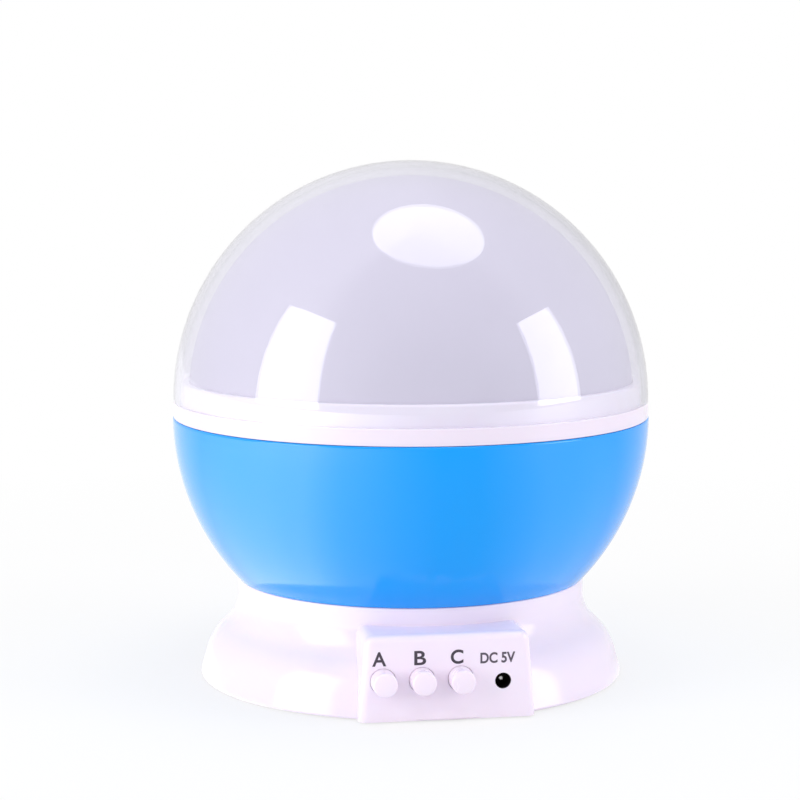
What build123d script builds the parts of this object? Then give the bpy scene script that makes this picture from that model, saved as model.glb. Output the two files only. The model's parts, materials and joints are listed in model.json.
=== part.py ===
from build123d import *
import os
from math import acos, asin, atan2, cos, degrees, pi, radians, sin, tan

# Star night light projector, in millimetres.
# A ball of two shells turns on a bell-shaped base. The lower shell is a bowl, and the upper one is a
# lift-off cover with a clear outer dome and a milky inner one. Under the cover stands a dark dome with
# cut-out stars, lit by a group of LEDs on a mast that doesn't turn. A gear motor in the base turns the
# bowl through a pinion, a compound gear and a ring gear. The control panel faces -Y, +Z is up, and the
# origin is on the surface that the feet stand on, under the ball's axis.

os.makedirs("parts", exist_ok=True)

# ---- Driving dimensions: ball ----
BALL_R = 60.0  # outer radius of the bowl
BALL_Z = 66.0  # height of the bowl's centre, and of the seam under the cover ring
BOWL_WALL = 2.0
BOWL_BOTTOM_Z = 25.2
BOWL_RIM_Z = 65.75  # leaves a narrow shadow gap under the cover ring
BOWL_FLOOR = 2.0
HUB_R = 11.0
HUB_BOTTOM_Z = 19.6
HUB_TOP_Z = 31.0
RIB_COUNT = 6
RIB_THICK = 1.6
RIB_TOP_Z = 30.0
RIB_START_R = 10.0
RIB_END_R = 44.0
CARRIER_BOSS_R = 3.0
CARRIER_BOSS_Z = 50.0

# ---- Driving dimensions: cover ----
CLEAR_R = 59.8
CLEAR_Z = 70.0  # centre of the clear dome, and the top of the ring's outer band
CLEAR_WALL = 1.6
DIFFUSER_R = 53.5
DIFFUSER_Z = 68.5
DIFFUSER_WALL = 1.2
DIFFUSER_SEAT_Z = 72.0
RING_TOP_Z = 75.3
RING_LIP_R = 57.8  # the clear dome stands round this upstand
SKIRT_R = 57.5  # the plug that drops into the bowl's rim
SKIRT_WALL = 1.4
SKIRT_BOTTOM_Z = 62.2
SEAT_R = 52.0
SEAT_THICK = 1.4
SEAT_GAP = 0.1  # between the upstand and the diffuser's rim

# ---- Driving dimensions: star mask ----
MASK_R = 46.0
MASK_WALL = 1.6
MASK_FLANGE_R = 51.0
MASK_FLANGE = 1.4
CARRIER_R = 57.2
CARRIER_Z = 60.0
CARRIER_THICK = 1.6
CARRIER_SCREW_R = 53.5
MASK_SCREW_R = 48.6
MASK_BOSS_R = 2.2
MASK_BOSS = 3.0
STAR_ROWS = 5
STAR_POINT_RATIO = 0.42
STAR_R = 3.4
SMALL_STAR_R = 2.6
DOT_R = 0.8
MOON_R = 4.6
CUT_DEPTH = 3.0

# ---- Driving dimensions: base shell ----
BASE_R = 53.4
SHELL_BOTTOM_Z = 0.4
SHELL_WALL = 2.0
EDGE_R = 0.5
FLANK_TILT = 15.2  # degrees that the bell's foot leans in
FLANK_LENGTH = 4.9
WAIST_TILT = 50.0  # degrees at the change from the shoulder to the neck sweep
SHOULDER_R = 14.3
NECK_SWEEP_R = 10.3
NECK_TOP_Z = 24.8
NECK_EDGE_R = 0.4
DECK_Z = 15.8
DECK_TOP_Z = 17.5

# ---- Driving dimensions: control panel ----
PANEL_Y = -52.75
PANEL_WALL = 2.0
PANEL_BACK_Y = -37.0
PANEL_TOP_Z = 20.8
PANEL_HALF_BOTTOM = 21.0
PANEL_HALF_TOP = 19.5
PANEL_CORNER_R = 2.4
PANEL_EDGE_R = 1.8
BOX_WALL = 1.2
BUTTON_PITCH = 9.2
BUTTON_B_X = -6.2
BUTTON_Z = 10.1
BUTTON_R = 3.0
BUTTON_REACH = 4.5
BUTTON_TRAVEL = 1.5
BUTTON_COLLAR = 0.3
BUTTON_HOLE_GAP = 0.1
JACK_X = 13.1
JACK_Z = 9.2
JACK_HALF = 3.2
JACK_HOLE_R = 2.1
JACK_NOSE_R = 2.05
JACK_MOUTH_R = 1.8
JACK_MOUTH = 2.0  # length of the narrow mouth in front of the wider socket
JACK_SOCKET_R = 2.0
JACK_FRONT_Y = -52.45
JACK_FLOOR_Y = -45.2
JACK_PIN_R = 0.65
JACK_PIN_TIP_Y = -50.3
JACK_ROOT_R = 0.45
JACK_ROOT_Y = -44.4
BOARD_Y = -44.0  # the control board's front face
BOARD_BOSS_R = 1.8

# ---- Driving dimensions: bearing, mast and drive ----
STUB_R = 6.5
STUB_TOP_Z = 34.0
RUN_GAP = 0.05  # radial clearance of every running fit
MAST_R = 4.5
MAST_BORE_R = 3.5
MAST_TOP_Z = 55.0
BUSH_R = 8.5
CLIP_Z = 32.0
CLIP_THICK = 0.8
GROOVE_R = 6.0
MODULE = 0.5
PRESSURE_ANGLE = radians(20)
PROFILE_SHIFT = 0.4  # pinions are cut larger and wheels smaller by this share of the module
BACKLASH = 0.08
RING_TEETH = 100
WHEEL_TEETH = 50
PINION_TEETH = 10
MOTOR_Y = 34.0
MOTOR_R = 6.0
MOTOR_BOTTOM_Z = 4.5
STRAP_Z = 8.8
STRAP_THICK = 1.2
STRAP_WIDTH = 4.8
STRAP_SCREW_X = 10.5
SHAFT_R = 0.75
SHAFT_Z = 10.2
SHAFT_TOP_Z = 20.4
SHAFT_HOLE_R = 1.95
MOTOR_PINION_Z = 17.9
MOTOR_PINION_TOP_Z = 20.0
AXLE_R = 1.0
AXLE_TOP_Z = 24.9
IDLER_BOSS_R = 2.6
IDLER_BOSS_TOP_Z = 18.2
WHEEL_Z = 18.3
WHEEL_TOP_Z = 19.8
IDLER_TOP_Z = 24.3
WHEEL_HOLE_R = 2.2
WHEEL_HOLE_RING_R = 7.6
WHEEL_HOLE_COUNT = 5
RING_GEAR_Z = 21.5
RING_BORE_R = 19.0
RING_SCREW_R = 21.5
THRUST_R = 12.0
THRUST_THICK = 0.8
BUSH_BOTTOM_Z = 18.4
BUSH_TOP_Z = 31.8
CLIP_R = 9.2
CLIP_SLOT_HALF = 4.0
MAST_COLLAR_R = 6.2
MAST_HEAD_R = 8.0
MAST_FLANGE = 1.2
LED_BOARD_R = 9.0
LED_BOARD_THICK = 1.2
LED_R = 2.5
LED_RING_R = 4.3
LED_HEIGHT = 6.0

# ---- Driving dimensions: bottom plate and battery bay ----
PLATE_R = 50.7
PLATE_Z = 0.8
PLATE_THICK = 1.6
DOOR_THICK = 1.2
BAY_HALF_X = 24.2
BAY_HALF_Y = 21.8
BAY_WALL = 1.2
BAY_CEILING_Z = 13.3
BAY_TOP_Z = 14.3
CELL_R = 5.25
CELL_PITCH = 10.8
CELL_Z = 8.0
CELL_BODY = 43.7
CELL_NUB = 0.8
CELL_NUB_R = 1.9
CONTACT_THICK = 0.3
CONTACT_HALF = 4.0
BOW_HALF = 3.2
BOW_HALF_WIDTH = 1.5
FOOT_R = 4.5
FOOT_RING_R = 44.5
PLATE_SCREW_X = 37.5
PLATE_SCREW_Y = 15.0
COLUMN_R = 3.2
DOOR_GAP = 0.2
DOOR_TAB_R = 4.2
RIDGE_COUNT = 5
RIDGE_PITCH = 2.2
WIRE_R = 0.5

# ---- Driving dimensions: screws ----
PILOT_R = 1.1
HEAD_R = 2.2
HEAD = 0.7
HEAD_SEAT_R = 2.4
HEAD_SINK = 0.8
PLATE_SCREW = 7.5
DOOR_HEAD = 0.5
DOOR_HEAD_SINK = 0.6
DOOR_SCREW = 6.0
SMALL_PILOT_R = 0.8
SMALL_HEAD_R = 1.6
SMALL_HEAD = 0.9
SMALL_SCREW = 5.0
SMALL_SCREW_LONG = 6.0

# ---- Derived sizes ----
TILT = radians(FLANK_TILT)
WAIST = radians(WAIST_TILT)
FLANK_START = Vector(BASE_R - EDGE_R * (1 - cos(TILT)), SHELL_BOTTOM_Z + EDGE_R * (1 + sin(TILT)))
FLANK_NORMAL = Vector(cos(TILT), sin(TILT))
NECK_R = (
    FLANK_START.X
    - FLANK_LENGTH * sin(TILT)
    - SHOULDER_R * (cos(TILT) - cos(WAIST))
    - NECK_SWEEP_R * (1 - cos(WAIST))
)
PLATE_TOP_Z = PLATE_Z + PLATE_THICK
CARRIER_TOP_Z = CARRIER_Z + CARRIER_THICK
MASK_FLANGE_TOP_Z = CARRIER_TOP_Z + MASK_FLANGE
PANEL_INNER_Y = PANEL_Y + PANEL_WALL
BUTTON_X = [BUTTON_B_X - BUTTON_PITCH, BUTTON_B_X, BUTTON_B_X + BUTTON_PITCH]
BOARD_SCREWS = [(BUTTON_B_X - BUTTON_PITCH / 2, 5.4), ((BUTTON_X[2] + JACK_X) / 2 - 0.2, 12.4)]
RING_PITCH_R = MODULE * RING_TEETH / 2
WHEEL_PITCH_R = MODULE * WHEEL_TEETH / 2
PINION_PITCH_R = MODULE * PINION_TEETH / 2
IDLER_RADIUS = RING_PITCH_R + PINION_PITCH_R
MESH_DISTANCE = WHEEL_PITCH_R + PINION_PITCH_R
# The idler stands where it meshes with the ring gear and with the motor's pinion at once.
IDLER_TURN = acos((MOTOR_Y**2 + IDLER_RADIUS**2 - MESH_DISTANCE**2) / (2 * MOTOR_Y * IDLER_RADIUS))
IDLER_ANGLE = 90 - degrees(IDLER_TURN)
IDLER_X = IDLER_RADIUS * cos(radians(IDLER_ANGLE))
IDLER_Y = IDLER_RADIUS * sin(radians(IDLER_ANGLE))
MOTOR_BEARING = degrees(atan2(MOTOR_Y - IDLER_Y, -IDLER_X))  # direction from the idler to the motor


# ---- Shared shapes ----
def polar(radius, angle):
    """Return the point at a radius and an angle in radians."""
    return (radius * cos(angle), radius * sin(angle))


def box_between(low, high, mode=Mode.ADD):
    """Add or cut a box between two corners."""
    centre = tuple((a + b) / 2 for a, b in zip(low, high))
    size = [b - a for a, b in zip(low, high)]
    with Locations(centre):
        Box(*size, mode=mode)


def upright_cylinder(x, y, radius, low, high, mode=Mode.ADD):
    """Add or cut an upright cylinder between two heights."""
    with Locations((x, y, low)):
        Cylinder(radius, high - low, align=(Align.CENTER, Align.CENTER, Align.MIN), mode=mode)


def front_cylinder(x, z, radius, front, back, mode=Mode.ADD):
    """Add or cut a cylinder along Y between two depths."""
    with Locations(Location((x, front, z), (-90, 0, 0))):
        Cylinder(radius, back - front, align=(Align.CENTER, Align.CENTER, Align.MIN), mode=mode)


def washer(radius, bore, low, high):
    """Add a flat ring about the ball's axis between two heights."""
    upright_cylinder(0, 0, radius, low, high)
    upright_cylinder(0, 0, bore, low, high, mode=Mode.SUBTRACT)


def screws(planes, head_r, head, shank_r, length):
    """Add a cross-head screw on each plane, its head out along the plane's normal."""
    with BuildSketch(*planes) as pan:
        Circle(head_r)
    extrude(pan.sketch, amount=head)
    with BuildSketch(*planes) as shank:
        Circle(shank_r)
    extrude(shank.sketch, amount=-length)
    with BuildSketch(*[plane.offset(head) for plane in planes]) as cross:
        Rectangle(head_r * 1.3, head_r * 0.25)
        Rectangle(head_r * 0.25, head_r * 1.3)
    extrude(cross.sketch, amount=-head * 0.5, mode=Mode.SUBTRACT)


def bell_side(start, inset):
    """Draw the bell's side from its foot up to the neck, moved inwards by inset."""
    flank = PolarLine(start, FLANK_LENGTH, angle=90 + FLANK_TILT)
    shoulder = JernArc(flank @ 1, flank % 1, SHOULDER_R - inset, WAIST_TILT - FLANK_TILT)
    sweep_in = JernArc(shoulder @ 1, shoulder % 1, NECK_SWEEP_R + inset, -WAIST_TILT)
    neck = Line(sweep_in @ 1, ((sweep_in @ 1).X, NECK_TOP_Z))
    return Polyline(neck @ 1, (0, NECK_TOP_Z), (0, SHELL_BOTTOM_Z))


def panel_outline(inset, bottom, top):
    """Draw the control panel's front outline, moved inwards by inset."""
    slope = (PANEL_HALF_BOTTOM - PANEL_HALF_TOP) / (PANEL_TOP_Z - SHELL_BOTTOM_Z)
    half_low = PANEL_HALF_BOTTOM - inset - slope * (bottom - SHELL_BOTTOM_Z)
    half_high = PANEL_HALF_BOTTOM - inset - slope * (top - SHELL_BOTTOM_Z)
    Polygon((-half_low, bottom), (half_low, bottom), (half_high, top), (-half_high, top), align=None)


def involute(angle):
    """Return the involute function of an angle."""
    return tan(angle) - angle


def gear_outline(teeth, shift, first_tooth):
    """Draw a gear's toothed edge, with one tooth centred on first_tooth degrees."""
    pitch_r = MODULE * teeth / 2
    base_r = pitch_r * cos(PRESSURE_ANGLE)
    tip_r = pitch_r + MODULE * (1 + shift)
    root_r = pitch_r - MODULE * (1.25 - shift)
    flank_r = max(base_r, root_r)
    thickness = MODULE * (pi / 2 + 2 * shift * tan(PRESSURE_ANGLE)) - BACKLASH / 2

    def half_angle(radius):
        local = acos(base_r / radius)
        return thickness / (2 * pitch_r) + involute(PRESSURE_ANGLE) - involute(local)

    flank = [flank_r, (flank_r + tip_r) / 2, tip_r]
    foot = half_angle(flank_r)
    pitch = 2 * pi / teeth
    for tooth in range(teeth):
        centre = radians(first_tooth) + tooth * pitch
        rising = [polar(radius, centre - half_angle(radius)) for radius in flank]
        falling = [polar(radius, centre + half_angle(radius)) for radius in reversed(flank)]
        next_foot = centre + pitch - foot
        if flank_r > root_r:
            Line(polar(root_r, centre - foot), rising[0])
            Line(falling[-1], polar(root_r, centre + foot))
        ThreePointArc(*rising)
        Line(rising[-1], falling[0])
        ThreePointArc(*falling)
        Line(polar(root_r, centre + foot), polar(root_r, next_foot))


def toothed_disc(x, y, low, high, teeth, shift, first_tooth):
    """Add a spur gear's toothed disc between two heights."""
    with BuildSketch(Plane((x, y, low))) as disc:
        with BuildLine():
            gear_outline(teeth, shift, first_tooth)
        make_face()
    extrude(disc.sketch, amount=high - low)


def dome_shell(radius, centre_z, wall, low_z):
    """Add a thin dome about the ball's axis, open below, with its rim at low_z."""
    with BuildSketch(Plane.XZ) as section:
        with BuildLine():
            outer_start = degrees(asin((low_z - centre_z) / radius))
            inner_start = degrees(asin((low_z - centre_z) / (radius - wall)))
            outer = CenterArc((0, centre_z), radius, outer_start, 90 - outer_start)
            inner = CenterArc((0, centre_z), radius - wall, inner_start, 90 - inner_start)
            Line(outer @ 0, inner @ 0)
            Line(outer @ 1, inner @ 1)
        make_face()
    revolve(section.sketch, axis=Axis.Z)


def leads(routes, bends):
    """Add insulated wires along straight runs joined by tangent arcs."""
    for route in routes:
        with BuildLine() as path:
            FilletPolyline(*route, radius=bends)
        with BuildSketch(Plane(path.line @ 0, z_dir=path.line % 0)) as section:
            Circle(WIRE_R)
        sweep(section.sketch, path=path.line)


# ---- Base shell: bell, control box, deck, bearing stub and screw columns in one moulding ----
with BuildPart() as control_box:
    with BuildSketch(Plane.XZ.offset(-PANEL_Y)):
        panel_outline(0, SHELL_BOTTOM_Z, PANEL_TOP_Z)
        fillet(vertices().group_by(Axis.Y)[-1], PANEL_CORNER_R)
    extrude(amount=PANEL_Y - PANEL_BACK_Y)
    front_face = faces().sort_by(Axis.Y)[0]
    fillet(front_face.edges().sort_by(Axis.Z)[1:], PANEL_EDGE_R)

with BuildPart() as base_shell:
    with BuildSketch(Plane.XZ):
        with BuildLine():
            sole = Line((0, SHELL_BOTTOM_Z), (BASE_R - EDGE_R, SHELL_BOTTOM_Z))
            edge = JernArc(sole @ 1, (1, 0), EDGE_R, 90 + FLANK_TILT)
            bell_side(edge @ 1, 0)
        make_face()
    revolve(axis=Axis.Z)
    fillet(edges().group_by(Axis.Z)[-1], NECK_EDGE_R)
    add(control_box.part)
    with BuildSketch(Plane.XZ):
        with BuildLine():
            inner_start = FLANK_START - FLANK_NORMAL * SHELL_WALL
            Line((0, SHELL_BOTTOM_Z), (inner_start.X, SHELL_BOTTOM_Z))
            Line((inner_start.X, SHELL_BOTTOM_Z), inner_start)
            bell_side(inner_start, SHELL_WALL)
        make_face()
    revolve(axis=Axis.Z, mode=Mode.SUBTRACT)
    with BuildSketch(Plane.XZ.offset(-PANEL_INNER_Y)):
        panel_outline(BOX_WALL, SHELL_BOTTOM_Z, DECK_TOP_Z)
    extrude(amount=PANEL_INNER_Y - PANEL_BACK_Y, mode=Mode.SUBTRACT)
    upright_cylinder(0, 0, NECK_R, DECK_Z, DECK_TOP_Z)
    # Bearing stub, with its clip groove and the bore that holds the mast
    upright_cylinder(0, 0, STUB_R, DECK_TOP_Z, STUB_TOP_Z)
    with BuildSketch(Plane.XY.offset(CLIP_Z)):
        Circle(STUB_R)
        Circle(GROOVE_R, mode=Mode.SUBTRACT)
    extrude(amount=CLIP_THICK, mode=Mode.SUBTRACT)
    upright_cylinder(0, 0, MAST_R, DECK_Z, STUB_TOP_Z, mode=Mode.SUBTRACT)
    # Idler boss and hole, motor shaft hole and motor screw columns
    upright_cylinder(IDLER_X, IDLER_Y, IDLER_BOSS_R, DECK_TOP_Z, IDLER_BOSS_TOP_Z)
    upright_cylinder(IDLER_X, IDLER_Y, AXLE_R, DECK_Z, IDLER_BOSS_TOP_Z, mode=Mode.SUBTRACT)
    upright_cylinder(0, MOTOR_Y, SHAFT_HOLE_R, DECK_Z, DECK_TOP_Z, mode=Mode.SUBTRACT)
    column_z = STRAP_Z + STRAP_THICK
    for x in (-STRAP_SCREW_X, STRAP_SCREW_X):
        upright_cylinder(x, MOTOR_Y, STRAP_WIDTH / 2, column_z, DECK_Z)
        upright_cylinder(x, MOTOR_Y, SMALL_PILOT_R, column_z, column_z + SMALL_SCREW, mode=Mode.SUBTRACT)
    # Screw columns for the bottom plate
    screw_tip_z = PLATE_Z + HEAD_SINK + PLATE_SCREW
    for x in (-PLATE_SCREW_X, PLATE_SCREW_X):
        for y in (-PLATE_SCREW_Y, PLATE_SCREW_Y):
            upright_cylinder(x, y, COLUMN_R, PLATE_TOP_Z, DECK_Z)
            upright_cylinder(x, y, PILOT_R, PLATE_TOP_Z, screw_tip_z, mode=Mode.SUBTRACT)
    # Control board bosses behind the panel
    for x, z in BOARD_SCREWS:
        front_cylinder(x, z, BOARD_BOSS_R, PANEL_INNER_Y, BOARD_Y)
        front_cylinder(x, z, SMALL_PILOT_R, PANEL_INNER_Y + 1.0, BOARD_Y, mode=Mode.SUBTRACT)
    # Button holes and the jack hole
    for x in BUTTON_X:
        front_cylinder(x, BUTTON_Z, BUTTON_R + BUTTON_HOLE_GAP, PANEL_Y, PANEL_INNER_Y, mode=Mode.SUBTRACT)
    front_cylinder(JACK_X, JACK_Z, JACK_HOLE_R, PANEL_Y, PANEL_INNER_Y, mode=Mode.SUBTRACT)
base_shell.part.label = "base_shell"
export_step(base_shell.part, "parts/base_shell.step")

# ---- Bottom plate, with the battery bay standing on it ----
BAY_OUT_X = BAY_HALF_X + BAY_WALL
BAY_OUT_Y = BAY_HALF_Y + BAY_WALL
DOOR_X = BAY_HALF_X + 0.8
DOOR_Y = BAY_HALF_Y + 0.8
DOOR_TAB_Y = -(DOOR_Y + 2.0)
with BuildPart() as bottom_plate:
    with BuildSketch(Plane.XY.offset(PLATE_Z)):
        Circle(PLATE_R)
        with Locations((0, (PANEL_INNER_Y + 0.3) / 2)):
            Rectangle(2 * (PANEL_HALF_BOTTOM - BOX_WALL - 0.5), -PANEL_INNER_Y - 0.3)
    extrude(amount=PLATE_THICK)
    box_between((-BAY_OUT_X, -BAY_OUT_Y, PLATE_TOP_Z), (BAY_OUT_X, BAY_OUT_Y, BAY_TOP_Z))
    upright_cylinder(0, DOOR_TAB_Y, COLUMN_R - 0.4, PLATE_TOP_Z, CELL_Z + 1.0)
    box_between((-BAY_HALF_X, -BAY_HALF_Y, PLATE_Z), (BAY_HALF_X, BAY_HALF_Y, BAY_CEILING_Z),
                mode=Mode.SUBTRACT)
    with BuildSketch(Plane.XY.offset(PLATE_Z)):
        Rectangle(2 * (DOOR_X + DOOR_GAP), 2 * (DOOR_Y + DOOR_GAP))
        with Locations((0, DOOR_TAB_Y)):
            Circle(DOOR_TAB_R + DOOR_GAP)
    extrude(amount=DOOR_THICK, mode=Mode.SUBTRACT)
    upright_cylinder(0, DOOR_TAB_Y, PILOT_R, PLATE_Z, CELL_Z, mode=Mode.SUBTRACT)
    for x in (-PLATE_SCREW_X, PLATE_SCREW_X):
        for y in (-PLATE_SCREW_Y, PLATE_SCREW_Y):
            upright_cylinder(x, y, PILOT_R, PLATE_Z, PLATE_TOP_Z, mode=Mode.SUBTRACT)
            upright_cylinder(x, y, HEAD_SEAT_R, PLATE_Z, PLATE_Z + HEAD_SINK, mode=Mode.SUBTRACT)
bottom_plate.part.label = "bottom_plate"
export_step(bottom_plate.part, "parts/bottom_plate.step")

# ---- Battery door, level with the plate's underside, with one screw tab and grip ridges ----
with BuildPart() as battery_door:
    with BuildSketch(Plane.XY.offset(PLATE_Z)):
        Rectangle(2 * DOOR_X, 2 * DOOR_Y)
        with Locations((0, DOOR_TAB_Y)):
            Circle(DOOR_TAB_R)
    extrude(amount=DOOR_THICK)
    upright_cylinder(0, DOOR_TAB_Y, PILOT_R, PLATE_Z, PLATE_Z + DOOR_THICK, mode=Mode.SUBTRACT)
    upright_cylinder(0, DOOR_TAB_Y, HEAD_SEAT_R, PLATE_Z, PLATE_Z + DOOR_HEAD_SINK, mode=Mode.SUBTRACT)
    for index in range(RIDGE_COUNT):
        low_y = 8.0 + index * RIDGE_PITCH
        box_between((-8.0, low_y, PLATE_Z), (8.0, low_y + 0.8, PLATE_Z + 0.3), mode=Mode.SUBTRACT)
battery_door.part.label = "battery_door"
export_step(battery_door.part, "parts/battery_door.step")

with BuildPart() as door_screw:
    door_seat = Plane((0, DOOR_TAB_Y, PLATE_Z + DOOR_HEAD_SINK), z_dir=(0, 0, -1))
    screws([door_seat], HEAD_R, DOOR_HEAD, PILOT_R, DOOR_SCREW)
door_screw.part.label = "door_screw"
export_step(door_screw.part, "parts/door_screw.step")

with BuildPart() as plate_screws:
    screws(
        [
            Plane((x, y, PLATE_Z + HEAD_SINK), z_dir=(0, 0, -1))
            for x in (-PLATE_SCREW_X, PLATE_SCREW_X)
            for y in (-PLATE_SCREW_Y, PLATE_SCREW_Y)
        ],
        HEAD_R,
        HEAD,
        PILOT_R,
        PLATE_SCREW,
    )
plate_screws.part.label = "plate_screws"
export_step(plate_screws.part, "parts/plate_screws.step")

# ---- Four rubber feet under the plate ----
with BuildPart() as rubber_feet:
    with BuildSketch():
        with PolarLocations(FOOT_RING_R, 4, start_angle=45):
            Circle(FOOT_R)
    extrude(amount=PLATE_Z)
    fillet(edges().group_by(Axis.Z)[0], 0.3)
rubber_feet.part.label = "rubber_feet"
export_step(rubber_feet.part, "parts/rubber_feet.step")

# ---- Four AAA cells, every other one turned round ----
CONTACT_X = BAY_HALF_X - CONTACT_THICK
with BuildPart() as battery_cells:
    for index in range(4):
        y = (index - 1.5) * CELL_PITCH
        way = 1 if index % 2 == 0 else -1
        nub_tip = Location((way * CONTACT_X, y, CELL_Z), (0, -90 * way, 0))
        with Locations(nub_tip):
            Cylinder(CELL_NUB_R, CELL_NUB, align=(Align.CENTER, Align.CENTER, Align.MIN))
        body = Location((way * (CONTACT_X - CELL_NUB), y, CELL_Z), (0, -90 * way, 0))
        with Locations(body):
            Cylinder(CELL_R, CELL_BODY, align=(Align.CENTER, Align.CENTER, Align.MIN))
battery_cells.part.label = "battery_cells"
export_step(battery_cells.part, "parts/battery_cells.step")

# ---- Contacts: a flat plate at each end of each cell, bowed towards the cell's flat end ----
SPRING_GAP = 2 * CONTACT_X - CELL_BODY - CELL_NUB
with BuildPart() as battery_contacts:
    for index in range(4):
        y = (index - 1.5) * CELL_PITCH
        way = 1 if index % 2 == 0 else -1
        for side in (-1, 1):
            edges_x = sorted((side * CONTACT_X, side * BAY_HALF_X))
            box_between(
                (edges_x[0], y - CONTACT_HALF, CELL_Z - CONTACT_HALF),
                (edges_x[1], y + CONTACT_HALF, CELL_Z + CONTACT_HALF),
            )
        root = -way * CONTACT_X
        crown = root + way * SPRING_GAP
        with BuildSketch(Plane.XZ.offset(-(y - BOW_HALF_WIDTH))):
            with BuildLine():
                bow = ThreePointArc((root, CELL_Z - BOW_HALF), (crown, CELL_Z), (root, CELL_Z + BOW_HALF))
                back = ThreePointArc(
                    (root, CELL_Z - BOW_HALF + CONTACT_THICK),
                    (crown - way * CONTACT_THICK, CELL_Z),
                    (root, CELL_Z + BOW_HALF - CONTACT_THICK),
                )
                Line(bow @ 0, back @ 0)
                Line(bow @ 1, back @ 1)
            make_face()
        extrude(amount=-2 * BOW_HALF_WIDTH)
battery_contacts.part.label = "battery_contacts"
export_step(battery_contacts.part, "parts/battery_contacts.step")

# ---- Control board, upright behind the panel ----
BOARD_THICK = 1.6
BOARD_HALF = 17.4
BOARD_LOW_Z = 3.4
BOARD_TOP_Z = 14.0
BOARD_BACK_Y = BOARD_Y + BOARD_THICK
with BuildPart() as control_board:
    box_between((-BOARD_HALF, BOARD_Y, BOARD_LOW_Z), (BOARD_HALF, BOARD_BACK_Y, BOARD_TOP_Z))
    for x, z in BOARD_SCREWS:
        front_cylinder(x, z, SMALL_PILOT_R, BOARD_Y, BOARD_BACK_Y, mode=Mode.SUBTRACT)
control_board.part.label = "control_board"
export_step(control_board.part, "parts/control_board.step")

with BuildPart() as board_screws:
    screws(
        [Plane((x, BOARD_BACK_Y, z), z_dir=(0, 1, 0)) for x, z in BOARD_SCREWS],
        SMALL_HEAD_R,
        SMALL_HEAD,
        SMALL_PILOT_R,
        SMALL_SCREW,
    )
board_screws.part.label = "board_screws"
export_step(board_screws.part, "parts/board_screws.step")

# ---- Board parts: one chip and two upright capacitors on the board's back ----
with BuildPart() as board_parts:
    box_between((-9.0, BOARD_BACK_Y, 4.6), (-4.0, BOARD_BACK_Y + 1.6, 8.6))
    for x in (2.5, 15.0):
        front_cylinder(x, 6.4, 2.0, BOARD_BACK_Y, BOARD_BACK_Y + 5.0)
board_parts.part.label = "board_parts"
export_step(board_parts.part, "parts/board_parts.step")

# ---- Switch housings: one latching push switch behind each button ----
SWITCH_HALF = 2.3
SWITCH_FRONT_Y = -47.8
PLUNGER_HALF = 1.2
with BuildPart() as switch_housings:
    for x in BUTTON_X:
        box_between(
            (x - SWITCH_HALF, SWITCH_FRONT_Y, BUTTON_Z - SWITCH_HALF),
            (x + SWITCH_HALF, BOARD_Y, BUTTON_Z + SWITCH_HALF),
        )
        slot = PLUNGER_HALF + 0.1
        box_between(
            (x - slot, SWITCH_FRONT_Y, BUTTON_Z - slot),
            (x + slot, BOARD_Y - 0.3, BUTTON_Z + slot),
            mode=Mode.SUBTRACT,
        )
switch_housings.part.label = "switch_housings"
export_step(switch_housings.part, "parts/switch_housings.step")

# ---- Buttons: a round cap held by its collar, and the switch plunger in its socket ----
CAP_FRONT_Y = PANEL_Y - BUTTON_REACH
COLLAR_FRONT_Y = PANEL_INNER_Y + 0.1
COLLAR_BACK_Y = COLLAR_FRONT_Y + 1.0
SOCKET_Y = -53.6
for letter, x in zip("abc", BUTTON_X):
    with BuildPart() as button_cap:
        front_cylinder(x, BUTTON_Z, BUTTON_R, CAP_FRONT_Y, COLLAR_BACK_Y)
        fillet(edges().sort_by(Axis.Y)[0], 0.5)
        front_cylinder(x, BUTTON_Z, BUTTON_R + BUTTON_COLLAR, COLLAR_FRONT_Y, COLLAR_BACK_Y)
        box_between(
            (x - PLUNGER_HALF, SOCKET_Y, BUTTON_Z - PLUNGER_HALF),
            (x + PLUNGER_HALF, COLLAR_BACK_Y, BUTTON_Z + PLUNGER_HALF),
            mode=Mode.SUBTRACT,
        )
    button_cap.part.label = f"button_cap_{letter}"
    export_step(button_cap.part, f"parts/button_cap_{letter}.step")

    with BuildPart() as switch_plunger:
        box_between(
            (x - PLUNGER_HALF, SOCKET_Y, BUTTON_Z - PLUNGER_HALF),
            (x + PLUNGER_HALF, BOARD_Y - BUTTON_TRAVEL - 0.5, BUTTON_Z + PLUNGER_HALF),
        )
    switch_plunger.part.label = f"switch_plunger_{letter}"
    export_step(switch_plunger.part, f"parts/switch_plunger_{letter}.step")

# ---- Power jack: its nose stands in the panel's hole, a wider socket lies behind it, and the contact pin
# is recessed ----
with BuildPart() as dc_jack:
    box_between(
        (JACK_X - JACK_HALF, PANEL_INNER_Y, JACK_Z - JACK_HALF),
        (JACK_X + JACK_HALF, BOARD_Y, JACK_Z + JACK_HALF),
    )
    front_cylinder(JACK_X, JACK_Z, JACK_NOSE_R, JACK_FRONT_Y, PANEL_INNER_Y)
    socket_y = JACK_FRONT_Y + JACK_MOUTH
    front_cylinder(JACK_X, JACK_Z, JACK_MOUTH_R, JACK_FRONT_Y, socket_y, mode=Mode.SUBTRACT)
    front_cylinder(JACK_X, JACK_Z, JACK_SOCKET_R, socket_y, JACK_FLOOR_Y, mode=Mode.SUBTRACT)
    front_cylinder(JACK_X, JACK_Z, JACK_ROOT_R, JACK_FLOOR_Y, JACK_ROOT_Y, mode=Mode.SUBTRACT)
dc_jack.part.label = "dc_jack"
export_step(dc_jack.part, "parts/dc_jack.step")

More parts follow.
